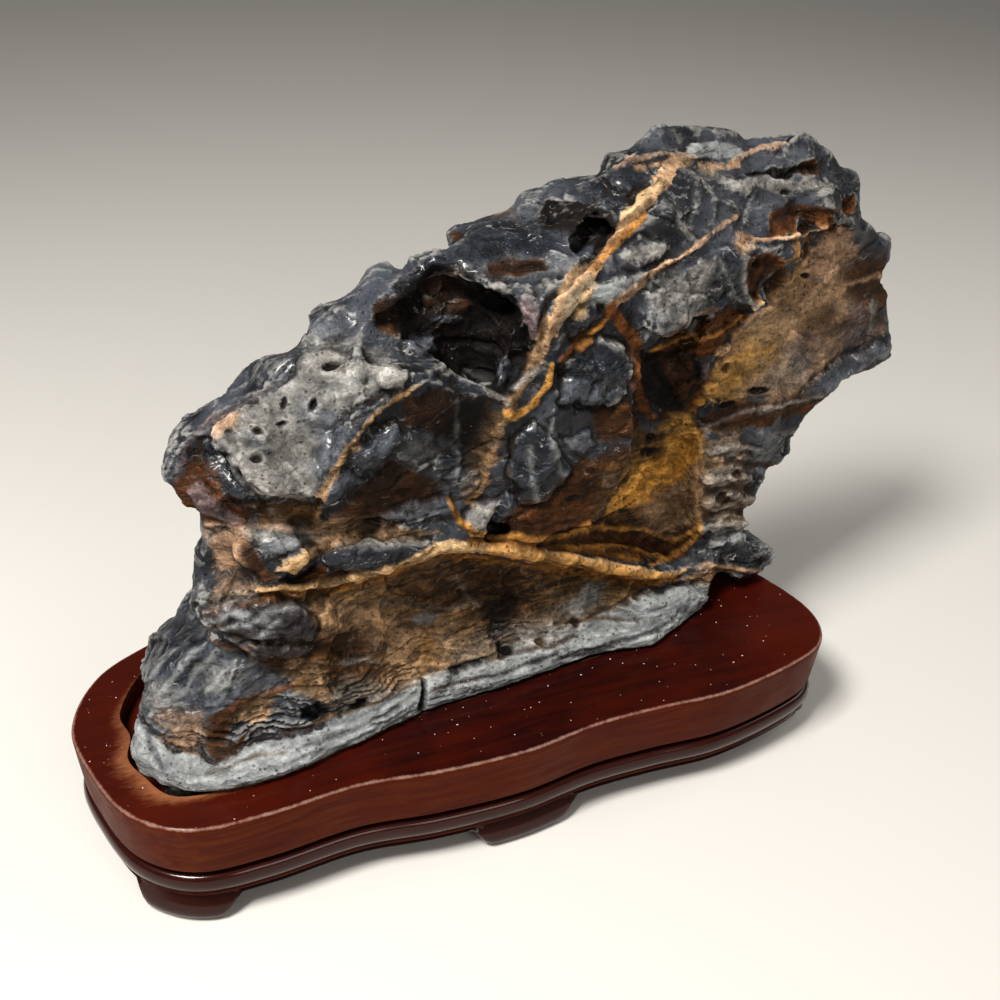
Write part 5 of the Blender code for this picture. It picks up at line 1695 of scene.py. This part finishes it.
@dataclass
class DustGrains:
    """Small pale grains strewn on the stand's top by a geometry node tree."""

    density: float = 24000.0
    least: float = 0.05
    most: float = 0.24
    flat: float = 0.35
    longer: tuple[float, float] = (0.5, 1.6)
    top_slack: float = 0.05
    seed: int = 5

    def build(self, stand: Object, material: Material) -> Object:
        """Strews the grains.

        Args:
            stand: the dressed stand, whose top carries them.
            material: what the grains are made of.

        Returns:
            The grains as one plain mesh.
        """
        carrier = new_object("dust_grains", stand.data.copy())
        carrier.data.materials.clear()
        values = {"Density": self.density, "Least": self.least * MM, "Most": self.most * MM, "Seed": self.seed,
                  "Top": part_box("stand")[1][2]}
        tree = self._tree(material)
        modifier = carrier.modifiers.new("strew", "NODES")
        modifier.node_group = tree
        for item in tree.interface.items_tree:
            if item.item_type == "SOCKET" and item.in_out == "INPUT" and item.name in values:
                modifier[item.identifier] = values[item.name]
        bake(carrier)
        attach(carrier, "root")
        return carrier

    def _random(self, bench: NodeBench, low: object, high: object, seed: int) -> Socket:
        """A number from low to high, drawn for each grain."""
        limits = {2: low, 3: high, "Seed": seed}
        return bench.add("FunctionNodeRandomValue", limits, data_type="FLOAT").outputs[1]

    def _tree(self, material: Material) -> Tree:
        """The tree: points on the top's faces, one small grain on each, made real."""
        tree = bpy.data.node_groups.new("strewn_grains", "GeometryNodeTree")
        bench = NodeBench(tree)
        group_sockets(tree, {"Geometry": ("NodeSocketGeometry", None),
                             "Density": ("NodeSocketFloat", self.density),
                             "Least": ("NodeSocketFloat", self.least * MM),
                             "Most": ("NodeSocketFloat", self.most * MM), "Seed": ("NodeSocketInt", self.seed),
                             "Top": ("NodeSocketFloat", 0.0)},
                      {"Geometry": "NodeSocketGeometry"})
        entry, leave = bench.add("NodeGroupInput"), bench.add("NodeGroupOutput")
        height = bench.add("SeparateXYZ", {0: bench.add("GeometryNodeInputPosition").outputs[0]}).outputs["Z"]
        near_top = bench.math("GREATER_THAN", height, bench.minus(entry.outputs["Top"], self.top_slack * MM))
        scatter = bench.add("GeometryNodeDistributePointsOnFaces", {
            "Mesh": entry.outputs["Geometry"], "Selection": near_top, "Density": entry.outputs["Density"],
            "Seed": entry.outputs["Seed"]})
        grain = bench.add("GeometryNodeMeshIcoSphere", {"Radius": 1.0, "Subdivisions": 1})
        size = self._random(bench, entry.outputs["Least"], entry.outputs["Most"], 0)
        long = self._random(bench, *self.longer, 3)
        shape = bench.add("CombineXYZ", {0: bench.times(size, long), 1: size, 2: bench.times(size, self.flat)})
        spin = bench.add("CombineXYZ", {2: self._random(bench, 0.0, 6.28, 9)})
        strewn = bench.add("GeometryNodeInstanceOnPoints", {
            "Points": scatter.outputs["Points"], "Instance": grain.outputs["Mesh"], "Scale": shape.outputs[0],
            "Rotation": spin.outputs[0]})
        real = bench.add("GeometryNodeRealizeInstances", {0: strewn.outputs[0]})
        dressed = bench.add("GeometryNodeSetMaterial", {"Geometry": real.outputs[0], "Material": material})
        tree.links.new(dressed.outputs[0], leave.inputs[0])
        return tree


# ---- Studio ----
@dataclass
class Studio:
    """A pale floor and soft light."""

    floor_half: float = 1.6
    floor_tint: tuple[float, float, float, float] = (0.60, 0.585, 0.56, 1.0)
    floor_rough: float = 0.75
    aim: Triple = (0.0, 0.0, 0.07)
    lamps: tuple[tuple[str, Triple, float, float], ...] = (
        ("key", (-0.34, -0.16, 0.64), 0.18, 6.6),
        ("front", (0.10, -0.75, 0.45), 0.35, 1.6),
        ("right", (0.65, -0.05, 0.55), 0.4, 1.2),
    )
    sky: float = 0.185
    warm: Triple = (1.0, 0.975, 0.93)

    def build(self) -> None:
        """Makes the floor, the lamps and the even light all round."""
        mesh = bpy.data.meshes.new("floor")
        square = ((-1, -1), (1, -1), (1, 1), (-1, 1))
        mesh.from_pydata([(x * self.floor_half, y * self.floor_half, 0) for x, y in square], [], [(0, 1, 2, 3)])
        floor = new_object("floor", mesh)
        mat = bpy.data.materials.new("floor")
        mat.use_nodes = True
        shader = mat.node_tree.nodes["Principled BSDF"]
        shader.inputs["Base Color"].default_value = self.floor_tint
        shader.inputs["Roughness"].default_value = self.floor_rough
        mesh.materials.append(mat)
        for name, place, size, power in self.lamps:
            lamp = bpy.data.lights.new(name, "AREA")
            lamp.size = size
            lamp.energy = power
            lamp.color = self.warm
            obj = bpy.data.objects.new(name, lamp)
            bpy.context.scene.collection.objects.link(obj)
            obj.location = place
            obj.rotation_euler = (Vector(self.aim) - Vector(place)).to_track_quat("-Z", "Y").to_euler()
        world = bpy.data.worlds.new("studio")
        world.use_nodes = True
        even = world.node_tree.nodes["Background"]
        even.inputs["Color"].default_value = (*self.warm, 1.0)
        even.inputs["Strength"].default_value = self.sky
        scene = bpy.context.scene
        scene.world = world
        scene.view_settings.view_transform = "Standard"
        scene.view_settings.look = "Medium High Contrast"


def main() -> None:
    """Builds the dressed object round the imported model."""
    logging.basicConfig(level=logging.INFO, format="%(name)s: %(message)s")
    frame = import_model()
    view = Viewpoint()
    view.build()
    effects = SharedEffects()
    stone = Stone(view, frame["nodes"]["rock"])
    rock = stone.build()
    stone.dress(rock, Limestone(), effects)
    LOG.info("stone: %d corners, %d triangles", len(rock.data.vertices), triangle_count(rock.data))
    carving = Stand()
    stand = carving.build()
    carving.dress(stand, LacqueredWood(), effects)
    LOG.info("stand: %d faces", len(stand.data.polygons))
    grains = DustGrains().build(stand, Lint().build())
    LOG.info("dust: %d faces", len(grains.data.polygons))
    Studio().build()


if __name__ == "__main__":
    main()
